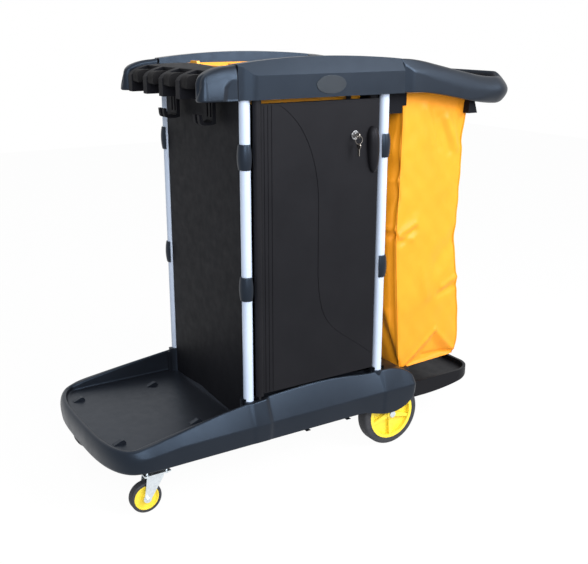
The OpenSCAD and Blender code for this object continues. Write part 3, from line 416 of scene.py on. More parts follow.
def tube(path: Array, radius: float, sides: int) -> tuple[Array, Array]:
    """Carry a circle along a path: each ring lies across the path's own direction.

    Args:
        path: N x 3 points.
        radius: Radius of the circle.
        sides: Points round the circle.

    Returns:
        Points and quads.
    """
    steep = 0.9
    ahead = np.gradient(path, axis=0)
    ahead /= np.linalg.norm(ahead, axis=1, keepdims=True)
    up = np.where(np.abs(ahead[:, 2:3]) > steep, [[1.0, 0.0, 0.0]], [[0.0, 0.0, 1.0]])
    side = np.cross(ahead, up)
    side /= np.linalg.norm(side, axis=1, keepdims=True)
    over = np.cross(side, ahead)
    a = np.linspace(0, 2 * np.pi, sides, endpoint=False)[None, :, None]
    ring = np.cos(a) * side[:, None] + np.sin(a) * over[:, None]
    return path[:, None] + radius * ring, grid_faces(len(path), sides, True)


def dress(obj: Piece, material: Material) -> None:
    """Give a piece one material."""
    obj.data.materials.clear()
    obj.data.materials.append(material)


def fit(obj: Piece, material: Material, body: Body) -> None:
    """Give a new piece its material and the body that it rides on.

    Args:
        obj: The new piece.
        material: Its material.
        body: Body that carries it.
    """
    dress(obj, material)
    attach(obj, body.value)


def soften(obj: Piece, width: float) -> None:
    """Round the edges of a moulded or pressed piece, with its flat faces kept flat.

    Args:
        obj: Piece to round.
        width: Width of the round, in metres.
    """
    weld = obj.modifiers.new("merge", "WELD")
    weld.merge_threshold = 0.00002
    bevel = obj.modifiers.new("round", "BEVEL")
    bevel.width = width
    bevel.segments = 3
    bevel.limit_method = "ANGLE"
    bevel.angle_limit = math.radians(28.0)
    bevel.use_clamp_overlap = True
    bevel.miter_outer = "MITER_ARC"
    normals = obj.modifiers.new("normals", "WEIGHTED_NORMAL")
    normals.weight = 50
    normals.keep_sharp = True
    obj.data.polygons.foreach_set("use_smooth", np.full(len(obj.data.polygons), True))


@dataclass
class CadDressing:
    """Finish and edge rounding, in metres, of the CAD nodes that stay in view."""

    rounds: dict[float, tuple[str, ...]] = field(default_factory=lambda: {
        0.004: ("rear_bag_tray", "near_rail", "far_rail", "broom_rack"),
        0.003: ("broom_grips",),
        0.0015: ("front_panel", "rear_panel", "far_panel", "inner_shelf", "bag_frame"),
        0.0012: ("tool_tray", "tool_hook_near", "tool_hook_far", "clips_front_near",
                 "clips_front_far", "clips_rear_near", "clips_rear_far"),
        0.001: ("top_bin", "top_carrier", "door_panel", "bag_front_brackets", "bag_rear_hooks",
                "rear_hub_near", "rear_hub_far"),
        0.0008: ("caster_hub_near", "caster_hub_far"),
        0.0007: ("caster_fork_near", "caster_fork_far"),
        0.0006: ("lock_body",),
        0.0005: ("blank_plate",),
        0.0004: ("lock_plug",),
    })
    panels: tuple[str, ...] = ("door_panel", "rear_panel", "far_panel", "inner_shelf",
                               "rear_bag_tray")
    # Nodes that sit in shade; they get the darker, duller black as painted shade.
    shaded: tuple[str, ...] = ("front_panel", "broom_rack", "top_carrier", "top_bin",
                               "tool_hook_near", "tool_hook_far", "bag_frame",
                               "bag_front_brackets", "bag_rear_hooks", "lock_strike")
    # Zinc hinge pins that get the darkened steel as painted shade.
    pins_darkened_for_shade: tuple[str, ...] = ("hinge_pins",)
    aged: tuple[str, ...] = ("door_key", "spare_key", "key_ring")

    def dress(self, materials: dict[Slot, Material]) -> None:
        """Give each CAD node its finish and round its edges.

        Args:
            materials: The finished material of each slot.
        """
        special = {}
        # The shaded nodes get the darker, duller black and the hinge pins the darkened steel, both
        # as painted shade.
        for names, finish in ((self.panels, PANEL_BLACK), (self.shaded, SHADED_BLACK),
                              (self.pins_darkened_for_shade, SHADE_DARKENED_STEEL), (self.aged, AGED_STEEL)):
            special.update(dict.fromkeys(names, finish.make()))
        widths = {node: width for width, nodes in self.rounds.items() for node in nodes}
        for part in frame["record"]["subparts"]:
            node = part["node"]
            obj = frame["nodes"][node]
            dress(obj, special.get(node, materials[Slot(part["material_slot"])]))
            if node in widths:
                soften(obj, widths[node])


def bezier(a: Pair, b: Pair, c: Pair, d: Pair) -> Array:
    """Points on a cubic curve from a to d with handles b and c.

    Args:
        a: Start.
        b: Handle of the start.
        c: Handle of the end.
        d: End.

    Returns:
        N x 2 points.
    """
    t = np.linspace(0, 1, CURVE_STEPS)[:, None]
    s = 1 - t
    a, b, c, d = (np.array(v) for v in (a, b, c, d))
    return s**3 * a + 3 * s * s * t * b + 3 * s * t * t * c + t**3 * d


def height_on(curves: Curves, x: Array) -> Array:
    """Read the height of a row of cubic curves over places along the cart.

    Args:
        curves: Four points of each curve, as place and height.
        x: Places along the cart.

    Returns:
        The height at each place.
    """
    line = np.concatenate([bezier(*curve) for curve in curves])
    line = line[np.argsort(line[:, 0], kind="stable")]
    return np.interp(x, line[:, 0], line[:, 1])


def smooth_step(v: Array, a: float, b: float) -> Array:
    """Rise from 0 to 1 as v goes from a to b, with level ends."""
    t = np.clip((v - a) / (b - a), 0, 1)
    return t * t * (3 - 2 * t)


def fade(v: Array, rise: Pair, fall: Pair) -> Array:
    """Rise from 0 to 1 over the first span and fall back to 0 over the second, by smooth steps.

    Args:
        v: Places.
        rise: Where the rise starts and ends.
        fall: Where the fall ends, and where it starts.

    Returns:
        The share at each place.
    """
    return smooth_step(v, *rise) * smooth_step(-v, -fall[0], -fall[1])


def round_corners(corners: Array, radii: Array, steps: int, closed: bool = False) -> Array:
    """Round the corners of many polylines: each becomes a quadratic arc between its two sides.

    Args:
        corners: Rows x corners x 2 points.
        radii: Cut-back of each corner, as rows x corners.
        steps: Points on each arc.
        closed: True where the last corner joins the first.

    Returns:
        Rows x (corners x steps) x 2 points; the two ends of an open line stay as they are.
    """
    most = 0.48
    before = np.roll(corners, 1, 1) - corners
    after = np.roll(corners, -1, 1) - corners
    if not closed:
        before[:, 0] = 0
        after[:, -1] = 0

    def reach(side: Array) -> Array:
        """Step along a side from its corner, at most just under half of it."""
        share = np.minimum(radii / np.maximum(np.linalg.norm(side, axis=-1), 1e-6), most)
        return (corners + side * share[..., None])[:, :, None]

    t = np.linspace(0, 1, steps)[None, None, :, None]
    arc = (1 - t) ** 2 * reach(before) + 2 * t * (1 - t) * corners[:, :, None] + t**2 * reach(after)
    return arc.reshape(len(corners), -1, 2)


@dataclass
class BasePlatform:
    """Soft moulded skin of the base: rounded nose, rolled rim, leaning facet, skirt and fenders.

    All fields are in millimetres, in the frame of the solids, but for the counts, powers and
    shares. A pair of sizes of the section is its size along the sides, and then at the nose.
    """

    nose_x: float = -593.0
    half_w: float = 246.0
    nose_round: float = 128.0
    nose_power: float = 3.2
    nose_look: Pair = (0.1, 0.8)
    nose_fine: int = 6000
    nose_steps: int = 190
    side_steps: int = 150
    tail_x: float = 280.0
    tail_run: float = 40.0
    tail_round: float = 16.0
    tail_steps: int = 26
    floor_z: float = 160.0
    cabinet_z: float = 190.0
    crease_z: float = 164.0
    panel_x: float = -230.0
    roof_x: float = 167.0
    posts: Pair = (-227.0, 163.0)
    post_y: float = 208.0
    rim_in: Pair = (30.0, 19.0)
    rim_draft: float = 1.0
    floor_edge: float = 9.0
    deck_lap: float = 6.0
    crest_in: Pair = (23.0, 14.0)
    facet_rise: Pair = (14.0, 60.0)
    facet_least: float = 0.45
    crease_drop: Pair = (0.0, 12.0)
    crease_share: float = 0.62
    hem_in: Pair = (3.0, 4.0)
    hem_back: Pair = (12.0, 20.0)
    hem_turn: Pair = (10.0, 18.0)
    hem_drop: Pair = (0.0, 4.0)
    turn_share: float = 30.0 / 110.0
    roof_in: Pair = (40.0, 30.0)
    rounds: tuple[Pair, ...] = ((0, 0), (5, 5), (5, 8), (4, 12), (3.5, 16), (5, 10), (3, 3), (0, 0))
    steps: int = 6
    bosses: Pair = (-206.0, 176.0)
    outer_corners: Pair = (3.0, 5.5)
    recess: float = 5.0
    recess_foot: float = 0.3
    recess_front: Pair = (19.0, 29.0)
    recess_rear: Pair = (4.0, 13.0)
    boss_out: float = 1.8
    boss_grow: float = 2.2
    boss_half: Pair = (30.0, 16.0)
    skin_deep: float = 4.5
    rim_deep: float = 30.0
    boss_deep: float = 16.0
    boss_z: float = 150.0
    bow_deep: float = 24.0
    bow_run: float = 80.0
    bow_slope: float = 1.3
    roof_gap: float = 4.0
    roof_up: float = 0.3
    deck_up: float = 0.9
    deck_gap: Pair = (0.5, 0.2)
    crest_curves: Curves = (
        ((-559, 172), (-481, 177), (-277, 229), (-32, 230)),
        ((-32, 230), (38, 230), (83, 221), (133, 217)),
        ((133, 217), (158, 215), (175, 220), (193, 218)),
        ((193, 218), (233, 214), (276, 200), (280, 166)))
    hem_curves: Curves = (
        ((80, 118), (128, 118), (153, 97), (193, 97)),
        ((193, 97), (256, 97), (281, 138), (280, 166)))
    collar_sides: int = 48
    collar: tuple[Pair, ...] = ((12.8, -14), (12.8, 2.4), (13.4, 3.0), (14.4, 3.0), (15.2, 2.4),
                                (15.6, 1.2), (15.8, -3), (16.0, -14))

    def outline(self) -> tuple[Array, Array]:
        """Plan of the skin: straight sides and a superellipse nose, from far tail to near tail.

        Returns:
            Points and outward normals, N x 2 each.
        """
        start = self.nose_x + self.nose_round
        slow = 1 - np.sin(np.linspace(0, np.pi / 2, self.tail_steps)[1:])
        straight = np.linspace(start, self.tail_x - self.tail_run, self.side_steps)[1:]
        side = np.concatenate([straight, self.tail_x - self.tail_run * slow])
        u = np.linspace(np.pi / 2, -np.pi / 2, self.nose_fine)
        power = 2 / self.nose_power
        nose = np.stack([start - self.nose_round * np.cos(u) ** power,
                         self.half_w * np.sign(u) * np.abs(np.sin(u)) ** power], -1)
        run = np.concatenate([[0], np.cumsum(np.linalg.norm(np.diff(nose, axis=0), axis=1))])
        even = np.linspace(0, run[-1], self.nose_steps)
        nose = np.stack([np.interp(even, run, nose[:, 0]), np.interp(even, run, nose[:, 1])], -1)
        far = np.stack([side[::-1], np.full(len(side), self.half_w)], -1)
        points = np.concatenate([far, nose, far[::-1] * [1, -1]])
        ahead = np.gradient(points, axis=0)
        normal = np.stack([ahead[:, 1], -ahead[:, 0]], -1)
        return points, normal / np.linalg.norm(normal, axis=1, keepdims=True)

    def crest(self, x: Array) -> Array:
        """Height of the rim's top: low at the nose, high at the cabinet, round at the tail."""
        return height_on(self.crest_curves, x)

    def skin(self) -> tuple[Array, Array]:
        """Carry the section round the plan: floor edge, inner wall, rim, facet, skirt and hem.

        Each section is a polyline of inset and height whose corners are rounded; between the
        post bosses the facet and skirt step inward, and the front boss swells out, both by
        smooth steps along the cart. Behind the posts the rim closes to a roof over the wheel.

        Returns:
            Points as stations x section x 3 in millimetres, and the outline's points.
        """
        plan, normal = self.outline()
        x = plan[:, 0]
        nose = smooth_step(-normal[:, 0], *self.nose_look)

        def size(side: float, front: float) -> Array:
            """Blend a size from the sides of the cart to its nose."""
            return side + (front - side) * nose

        top, hem = self.crest(x), height_on(self.hem_curves, x)
        behind = x > self.roof_x
        floor = np.where(x > self.panel_x, self.cabinet_z, self.floor_z)
        floor = np.where(behind, top, floor)
        rim = size(*self.rim_in)
        low, span = self.facet_rise
        shallow = np.clip((top - self.crease_z + low) / span, self.facet_least, 1)
        crease = np.minimum(self.crease_z - size(*self.crease_drop),
                            hem + self.crease_share * (top - hem))
        foot = hem - size(*self.hem_drop)
        corners = np.stack([np.stack(corner, -1) for corner in (
            (np.where(behind, self.half_w, rim + self.floor_edge), floor),
            (np.where(behind, self.roof_in[0], rim), floor),
            (np.where(behind, self.roof_in[1], rim - self.rim_draft), top),
            (size(*self.crest_in) * shallow, top),
            (np.zeros_like(x), crease),
            (size(*self.hem_in), foot),
            (size(*self.hem_back), foot),
            (size(*self.hem_turn), hem + self.turn_share * (top - hem)))], 1)
        radii = np.stack([size(*pair) for pair in self.rounds], 1)
        section = round_corners(corners, radii, self.steps)
        z = section[..., 1]
        tail = np.clip((x - self.tail_x + self.tail_round) / self.tail_round, 0, 1)
        inset = section[..., 0] + (self.tail_round * (1 - np.sqrt(1 - tail**2)))[:, None]
        inset = inset + self.boss_steps(x, z, crease, top)
        flat = plan[:, None] - normal[:, None] * inset[..., None]
        return np.concatenate([flat, z[..., None]], -1), plan

    def boss_steps(self, x: Array, z: Array, crease: Array, top: Array) -> Array:
        """Inset of the facet and skirt between the bosses, less the swell of the front boss.

        Args:
            x: Place of each station along the cart.
            z: Heights, as stations x section.
            crease: Height of the crease at each station.
            top: Height of the rim at each station.

        Returns:
            The added inset, as stations x section.
        """
        lift = np.clip((z - crease[:, None]) / np.maximum(top - crease, 1)[:, None], 0, 1)
        start, stop = self.bosses
        sunk = smooth_step(x, *(start + v for v in self.recess_front))
        sunk = self.recess * sunk * smooth_step(-x, *(v - stop for v in self.recess_rear))
        swell = self.boss_out * smooth_step(-np.abs(x - start), *(-v for v in self.boss_half))
        sunk = sunk[:, None] * (self.recess_foot + (1 - self.recess_foot) * lift)
        shift = sunk - swell[:, None] * (1 + self.boss_grow * lift)
        corner = np.arange(z.shape[1]) / self.steps
        outer = (corner >= self.outer_corners[0]) & (corner < self.outer_corners[1])
        return np.where(outer[None], shift, 0)

    def inner_faces(self) -> tuple[Array, Array]:
        """Take from the solid what the skin doesn't cover: floors, wells, ribs, stops and sockets.

        Returns:
            Points in metres and triangles.
        """
        mesh = frame["nodes"]["base_platform"].data
        points = np.zeros(len(mesh.vertices) * 3)
        mesh.vertices.foreach_get("co", points)
        points = points.reshape(-1, 3)
        mesh.calc_loop_triangles()
        tris = np.zeros(len(mesh.loop_triangles) * 3, np.int32)
        mesh.loop_triangles.foreach_get("vertices", tris)
        _, first, back = np.unique(np.round(points, 5), axis=0, return_index=True,
                                   return_inverse=True)
        tris = back.ravel()[tris].reshape(-1, 3)
        points = points[first]
        used, tris = np.unique(tris[self.uncovered(points, tris)], return_inverse=True)
        return points[used], tris.reshape(-1, 3)

    def uncovered(self, points: Array, tris: Array) -> Array:
        """Tell which triangles of the solid lie behind the skin, by their depth from its plan.

        Args:
            points: Points in metres.
            tris: Triangles.

        Returns:
            True for each triangle that stays.
        """
        x, y, z = points.T / MM
        start = self.nose_x + self.nose_round
        beside = self.half_w - np.abs(y)
        bow = np.clip((start - x) / self.nose_round, 0, 1) ** self.nose_power
        width = self.half_w * (1 - bow) ** (1 / self.nose_power) - np.abs(y)
        grow = (np.abs(y) / self.half_w) ** self.nose_power + bow
        ahead = self.nose_round * (1 - np.clip(grow, 0, 1) ** (1 / self.nose_power))
        inset = np.where(x > start, beside, np.minimum(width, ahead * self.bow_slope))
        depth = inset[tris].min(1)
        mid_x, mid_z = x[tris].mean(1), z[tris].mean(1)
        a, b, c = (points[tris[:, k]] for k in range(3))
        across = np.cross(b - a, c - a)
        up = across[:, 2] / np.maximum(np.linalg.norm(across, axis=1), 1e-12)
        crest = np.abs(mid_z - self.crest(mid_x)) < self.roof_gap
        roof = (up > self.roof_up) & crest & (mid_x > self.roof_x)
        under, over = self.deck_gap
        level = (mid_z > self.floor_z - under) & (mid_z < self.floor_z + over)
        deck = (mid_x < self.panel_x) & level & (up > self.deck_up)
        rim = (depth < self.rim_deep) & (mid_z > self.floor_z - 1)
        bow_hem = (depth < self.bow_deep) & (mid_x < start + self.bow_run)
        high = (z[tris].max(1) > self.boss_z) & (mid_x > self.panel_x)
        bosses = (depth < self.boss_deep) & high
        return (depth > self.skin_deep) & ~(roof | deck | rim | bow_hem | bosses)

    def collars(self) -> tuple[Array, Array]:
        """Turn a low collar round each post foot: a flat seat, a rolled edge and a short skirt.

        Returns:
            Points in metres and quads.
        """
        r, h = np.array(self.collar).T[..., None]
        a = np.linspace(0, 2 * np.pi, self.collar_sides, endpoint=False)
        one = grid_faces(len(r), len(a), True)
        points, faces = [], []
        for x in self.posts:
            z = float(self.crest(np.array([x]))[0])
            for y in (-self.post_y, self.post_y):
                turned = [x + r * np.cos(a), y + r * np.sin(a), z + h + 0 * a]
                faces.append(one + len(points) * r.size * a.size)
                points.append(np.stack(turned, -1).reshape(-1, 3))
        return np.concatenate(points) * MM, np.concatenate(faces)

    def build(self, material: Material) -> list[Piece]:
        """Make the skin with its deck floor, the inner faces behind it and the post collars.

        Args:
            material: Black plastic.

        Returns:
            The three pieces.
        """
        points, plan = self.skin()
        rows, cols = points.shape[:2]
        deck = np.flatnonzero(plan[:, 0] < self.panel_x + self.deck_lap) * cols
        faces = [grid_faces(rows, cols)[:, ::-1], [deck.tolist()]]
        skin = make_mesh("base_skin", points * MM, faces)
        inner = make_mesh("base_inner", *self.inner_faces(), smooth=False)
        collars = make_mesh("base_collars", *self.collars())
        for piece in (skin, inner, collars):
            fit(piece, material, Body.CHASSIS)
        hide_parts("base_platform")
        return [skin, inner, collars]


@dataclass
class TopFrame:
    """Sizes that the handle and the rack shoulders share with the rails, in millimetres."""

    rail_z: float = 940.0
    top_z: float = 1031.0
    crease_z: float = 993.0
    rail_x0: float = -249.0
    rail_x1: float = 204.0
    frame_y: float = 235.0


@dataclass
class PushHandle(TopFrame):
    """Swept push handle: two arms that fall and narrow towards a rounded bar.

    All fields are in millimetres, but for the counts, leans and powers. A run is how far from
    the part line, or from the tail, a change starts or ends.
    """

    tail_x: float = 593.0
    turn_r: float = 70.0
    arm_gap: float = 0.3
    arm_steps: int = 70
    arm_power: float = 1.8
    turn_steps: int = 34
    bar_steps: int = 20
    arm_w: float = 48.0
    arm_end_w: float = 36.0
    arm_end_x: float = 440.0
    arm_top: float = 10.0
    top_fall: float = 44.0
    top_run: float = 90.0
    crease_fall: float = 49.0
    crease_run: float = 70.0
    foot_fall: float = 40.0
    foot_run: Pair = (29.0, 50.0)
    dip: float = 8.0
    dip_run: float = 34.0
    slit: float = 6.0
    slit_run: float = 6.0
    end_run: Pair = (190.0, 40.0)
    end_fall: float = 7.0
    end_rise: float = 12.0
    rise_run: float = 34.0
    soft_run: float = 160.0
    facet_lean: Pair = (0.56, 0.26)
    facet_least: float = 1.0
    foot_cut: Pair = (1.5, 17.0)
    face_cut: Pair = (1.5, 23.0)
    inner_drop: float = 4.0
    rounds: tuple[Pair, ...] = ((4, 10), (2, 16), (2, 16), (4, 17), (4, 12), (5, 9))
    steps: int = 9

    def path(self) -> tuple[Array, Array]:
        """Outer line of the handle: two arms joined by two quarter turns, with its heading.

        Returns:
            N x 2 points and the heading of each in radians, 0 along the cart.
        """
        r = self.turn_r
        xt, yt = self.tail_x - r, self.frame_y - r
        start = self.rail_x1 + self.arm_gap
        arm = start + (xt - start) * np.linspace(0, 1, self.arm_steps) ** self.arm_power
        turn = np.linspace(0, np.pi / 2, self.turn_steps)[1:]
        near = np.concatenate([np.stack([arm, -self.frame_y + 0 * arm], -1),
                               np.stack([xt + r * np.sin(turn), -yt - r * np.cos(turn)], -1)])
        head = np.concatenate([0 * arm, turn])
        cross = np.linspace(-yt, yt, self.bar_steps)[1:-1]
        bar = np.stack([np.full(len(cross), self.tail_x), cross], -1)
        path = np.concatenate([near, bar, near[::-1] * [1, -1]])
        across = np.full(len(cross), np.pi / 2)
        return path, np.concatenate([head, across, np.pi - head[::-1]])

    def section(self, x: Array) -> Array:
        """Rounded six-cornered section at each place: upright face, facet, top and inner side.

        It is measured in from the outer face. By smooth steps it narrows and falls along the
        arm, rounds off towards the bar, and dips at the part line.

        Args:
            x: Places along the cart.

        Returns:
            Inset and height, as places x section x 2.
        """
        first, last = self.rail_x1, self.tail_x

        def change(start: float, stop: float) -> Array:
            """Share of a change that runs between two distances from the part line and tail."""
            return smooth_step(x, first + start, last - stop)

        end = smooth_step(x, *(last - v for v in self.end_run))
        soft = smooth_step(x, first, first + self.soft_run)
        top = self.top_z - self.arm_top - self.top_fall * change(0, self.top_run)
        top = top - self.end_fall * end + self.end_rise * smooth_step(x, last - self.rise_run, last)
        crease = self.crease_z - self.crease_fall * change(0, self.crease_run)
        low = self.rail_z - self.foot_fall * change(*self.foot_run)
        w = self.arm_w - (self.arm_w - self.arm_end_w) * smooth_step(x, first, self.arm_end_x)
        dip = self.dip * (1 - smooth_step(x, first, first + self.dip_run))
        dip = dip + self.slit * (1 - smooth_step(x, first, first + self.slit_run))
        lean, end_lean = self.facet_lean
        cut = np.maximum((top - crease) * (lean + end_lean * end), dip + self.facet_least)
        rise = np.minimum(crease + dip / lean, top - self.facet_least)
        (foot, end_foot), (face, end_face) = self.foot_cut, self.face_cut
        corners = np.stack([np.stack(corner, -1) for corner in (
            (-w, low), (-dip - foot - end_foot * end, low), (-dip, low + face + end_face * end),
            (-dip, rise), (-cut, top), (-w, top - self.inner_drop))], 1)
        shares = (soft, end, end, soft, soft, soft)
        radii = np.stack([r + more * t for (r, more), t in zip(self.rounds, shares)], 1)
        return round_corners(corners, radii, self.steps, closed=True)

    def build(self, material: Material) -> list[Piece]:
        """Sweep the section along the path, square to its heading.

        Args:
            material: Black plastic.

        Returns:
            The handle.
        """
        path, head = self.path()
        section = self.section(path[:, 0])
        side = section[..., :1] * np.stack([np.sin(head), -np.cos(head)], -1)[:, None]
        points = np.concatenate([path[:, None] + side, section[..., 1:]], -1)
        handle = closed_sweep("push_handle_form", points)
        fit(handle, material, Body.CHASSIS)
        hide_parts("push_handle")
        return [handle]


@dataclass
class RackShoulders(TopFrame):
    """Round-nosed shoulders at the two ends of the rack, where the rails begin.

    All fields are in millimetres, but for the counts, slopes and powers. A look is the span of a
    normal over which a form fades in.
    """

    rack_x: float = -346.0
    radius: float = 19.5
    rail_gap: float = 0.4
    ridge_gap: float = 0.4
    foot: float = 2.5
    plan_steps: int = 61
    wall_rows: int = 26
    brow: float = 6.0
    brow_rows: int = 7
    brow_power: float = 1.5
    dome_rows: int = 9
    blend: float = 9.0
    facet_slope: float = 38.0 / 23.0
    scoop: float = 7.0
    scoop_look: Pair = (0.6, 1.0)
    scoop_soft: Pair = (-4.0, 14.0)
    cheek: float = 7.0
    cheek_look: Pair = (0.2, 1.0)
    cheek_power: float = 1.7
    groove: float = 3.2
    groove_w: float = 5.0
    scoop_edge: tuple[Pair, ...] = ((938, -291), (953, -289), (969, -287), (984, -277), (994, -262),
                                    (1003, -245), (1020, -225))
    side_curves: Curves = (((-346, 968), (-346, 1000), (-308, 1013), (-267, 1015)),
                           ((-267, 1015), (-192, 1025), (-102, 1031), (-22, 1031)))

    def dome(self, at: Array) -> Array:
        """Height of the top: smooth minimum of the outline in side view and the outer facet.

        Args:
            at: N x 2 places.

        Returns:
            The height at each place.
        """
        facet = self.crease_z + (self.frame_y + at[:, 1]) * self.facet_slope
        side = height_on(self.side_curves, at[:, 0])
        return -self.blend * np.logaddexp(-side / self.blend, -facet / self.blend)

    def plan(self) -> tuple[Array, Array]:
        """Plan of the near shoulder: two straight sides joined by a half circle at the nose.

        Returns:
            Points from the inner to the outer side and outward normals, N x 2 each.
        """
        r, out = self.radius, self.frame_y
        run = np.linspace(self.rack_x + r, self.rail_x0 - self.rail_gap, self.plan_steps)[1:]
        nose = np.linspace(np.pi / 2, 3 * np.pi / 2, self.plan_steps)
        turn = np.stack([np.cos(nose), np.sin(nose)], -1)
        plan = np.concatenate([np.stack([run[::-1], np.full(len(run), 2 * r - out)], -1),
                               np.array([self.rack_x + r, r - out]) + r * turn,
                               np.stack([run, np.full(len(run), -out)], -1)])
        normal = np.concatenate([np.tile([[0.0, 1.0]], (len(run), 1)), turn,
                                 np.tile([[0.0, -1.0]], (len(run), 1))])
        return plan, normal

    def near(self) -> tuple[Array, list]:
        """Near shoulder: a stadium in plan with a soft dome and a scooped side.

        Rows climb the wall and then step in over the dome. The wall leans in towards its brow,
        and a scoop sinks its upright side behind an S-shaped edge.

        Returns:
            Points in millimetres and faces.
        """
        plan, normal = self.plan()
        x, (nx, ny) = plan[:, 0], normal.T
        foot_z = self.rail_z + self.foot
        tall = self.dome(plan) - foot_z - self.brow
        edge_z, edge_x = np.array(self.scoop_edge).T
        upright = smooth_step(-ny, *self.scoop_look)
        outer = smooth_step(-ny - nx, *self.cheek_look)
        groove = self.groove * (1 - smooth_step(-x, -self.rail_x0, self.groove_w - self.rail_x0))
        rows = [(plan - normal * self.foot, np.full(len(plan), self.rail_z))]
        for t in np.linspace(0, 1, self.wall_rows):
            z = foot_z + tall * t
            scoop = smooth_step(x - np.interp(z, edge_z, edge_x), *self.scoop_soft) * upright
            lean = self.cheek * t**self.cheek_power * outer
            sink = lean + (self.scoop - lean) * scoop + groove
            rows.append((plan - normal * sink[:, None], z))
        brow = rows[-1][0]
        steps = np.linspace(0, 1, self.brow_rows)[1:] ** self.brow_power
        deepest = self.radius - self.ridge_gap
        depth = np.concatenate([steps * self.brow,
                                np.linspace(self.brow, deepest, self.dome_rows)[1:]])
        ridge = plan - normal * deepest
        for d in depth:
            drop = self.brow * np.clip(1 - d / self.brow, 0, 1) ** 2
            rows.append((brow + (ridge - brow) * d / deepest, self.dome(plan - normal * d) - drop))
        points = np.concatenate([np.column_stack(row) for row in rows])
        count, cols = len(rows), len(plan)
        last, k = (count - 1) * cols, np.arange(cols // 2 - 1)
        closing = last + np.stack([k, k + 1, cols - 2 - k, cols - 1 - k], -1)
        starts = np.arange(count) * cols
        end = np.concatenate([starts, (starts + cols - 1)[::-1]]).tolist()
        return points, [grid_faces(count, cols), closing, [end], ring_ends(count, cols)[:1]]

    def build(self, material: Material) -> list[Piece]:
        """Make the near shoulder, and the far one as its mirror image.

        Args:
            material: Black plastic.

        Returns:
            The two shoulders.
        """
        points, faces = self.near()
        near = make_mesh("rack_shoulder_near", points * MM, faces)
        turned = [np.asarray(group)[:, ::-1].tolist() for group in faces]
        far = make_mesh("rack_shoulder_far", points * [MM, -MM, MM], turned)
        for piece, node in ((near, "rack_cap_near"), (far, "rack_cap_far")):
            fit(piece, material, Body.CHASSIS)
            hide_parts(node)
        return [near, far]


@dataclass
class DoorPull:
    """Spoon-shaped pull on the door. Fields are in millimetres, but for counts and powers."""

    mid_x: float = 120.5
    lean: float = 3.0
    face_y: float = -222.2
    top_z: float = 865.0
    low_z: float = 751.0
    half_w: float = 15.5
    widen: float = 1.8
    reach: float = 17.4
    swell: float = 3.0
    rows: int = 44
    cols: int = 41
    bell_power: float = 3.4
    bell_root: float = 2.1
    bell_least: float = 0.0008
    flatten: float = 0.85

    def build(self, material: Material) -> list[Piece]:
        """Make the pull: half ellipses stacked from top to foot, each sized by a rounded bell.

        Args:
            material: Black plastic.

        Returns:
            The pull.
        """
        t = np.sin(np.linspace(np.pi / 2, -np.pi / 2, self.rows))[:, None]
        bell = np.clip(1 - np.abs(t) ** self.bell_power, self.bell_least, 1) ** (1 / self.bell_root)
        a = np.linspace(0, np.pi, self.cols)[None]
        x = self.mid_x - self.lean * t + (self.half_w + self.widen * t) * bell * np.cos(a)
        y = self.face_y - (self.reach + self.swell * t) * bell * np.sin(a) ** self.flatten
        z = (self.top_z + self.low_z) / 2 + (self.top_z - self.low_z) / 2 * t
        points = np.stack(np.broadcast_arrays(x, y, z), -1)
        pull = closed_sweep("door_pull_form", points)
        fit(pull, material, Body.DOOR)
        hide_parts("door_pull")
        return [pull]


@dataclass(frozen=True)
class Fold:
    """Soft ridge, or valley where its height is negative, along a line on one face of the bag."""

    height: float
    start: Pair
    end: Pair
    width: float

    def lift(self, p: Array, z: Array) -> Array:
        """Height of the ridge: the bell curve of the distance from its line.

        Args:
            p: Place along the face.
            z: Height.

        Returns:
            The height out of the face.
        """
        (p0, z0), run = self.start, np.subtract(self.end, self.start).astype(float)
        share = np.clip(((p - p0) * run[0] + (z - z0) * run[1]) / (run @ run), 0, 1)
        gap = np.hypot(p - p0 - share * run[0], z - z0 - share * run[1])
        return self.height * np.exp(-((gap / self.width) ** 2))


@dataclass(frozen=True)
class FootFold:
    """The gift-wrap fold at the foot: a sunk triangle with raised edges and a tuck at its base."""

    apex: Pair
    left: Pair
    right: Pair
    sunk: float = 10.0
    slope: float = 30.0
    edge: Pair = (3.6, 6.0)
    tuck: Pair = (-5.0, 4.5)
    tuck_from: float = 0.4
    tuck_rise: Pair = (14.0, 2.0)

    def lift(self, p: Array, z: Array) -> Array:
        """Height of the fold: a smooth step of the depth in the triangle, and ridges on its lines.

        Args:
            p: Place along the face.
            z: Height.

        Returns:
            The height out of the face.
        """
        def below(a: Pair, b: Pair) -> Array:
            """Distance below the line a to b."""
            run = np.subtract(b, a).astype(float)
            return -((z - a[1]) * run[0] - (p - a[0]) * run[1]) / np.linalg.norm(run)

        depth = np.minimum(below(self.left, self.apex), below(self.apex, self.right))
        (p0, z0), (p1, z1), (rise0, rise1) = self.left, self.right, self.tuck_rise
        inner = ((1 - self.tuck_from) * p0 + self.tuck_from * p1, z0 + rise0)
        lift = -self.sunk * smooth_step(depth, 0, self.slope)
        for a, b, (height, width) in ((self.left, self.apex, self.edge),
                                      (self.apex, self.right, self.edge),
                                      (inner, (p1, z1 + rise1), self.tuck)):
            lift = lift + Fold(height, a, b, width).lift(p, z)
        return lift


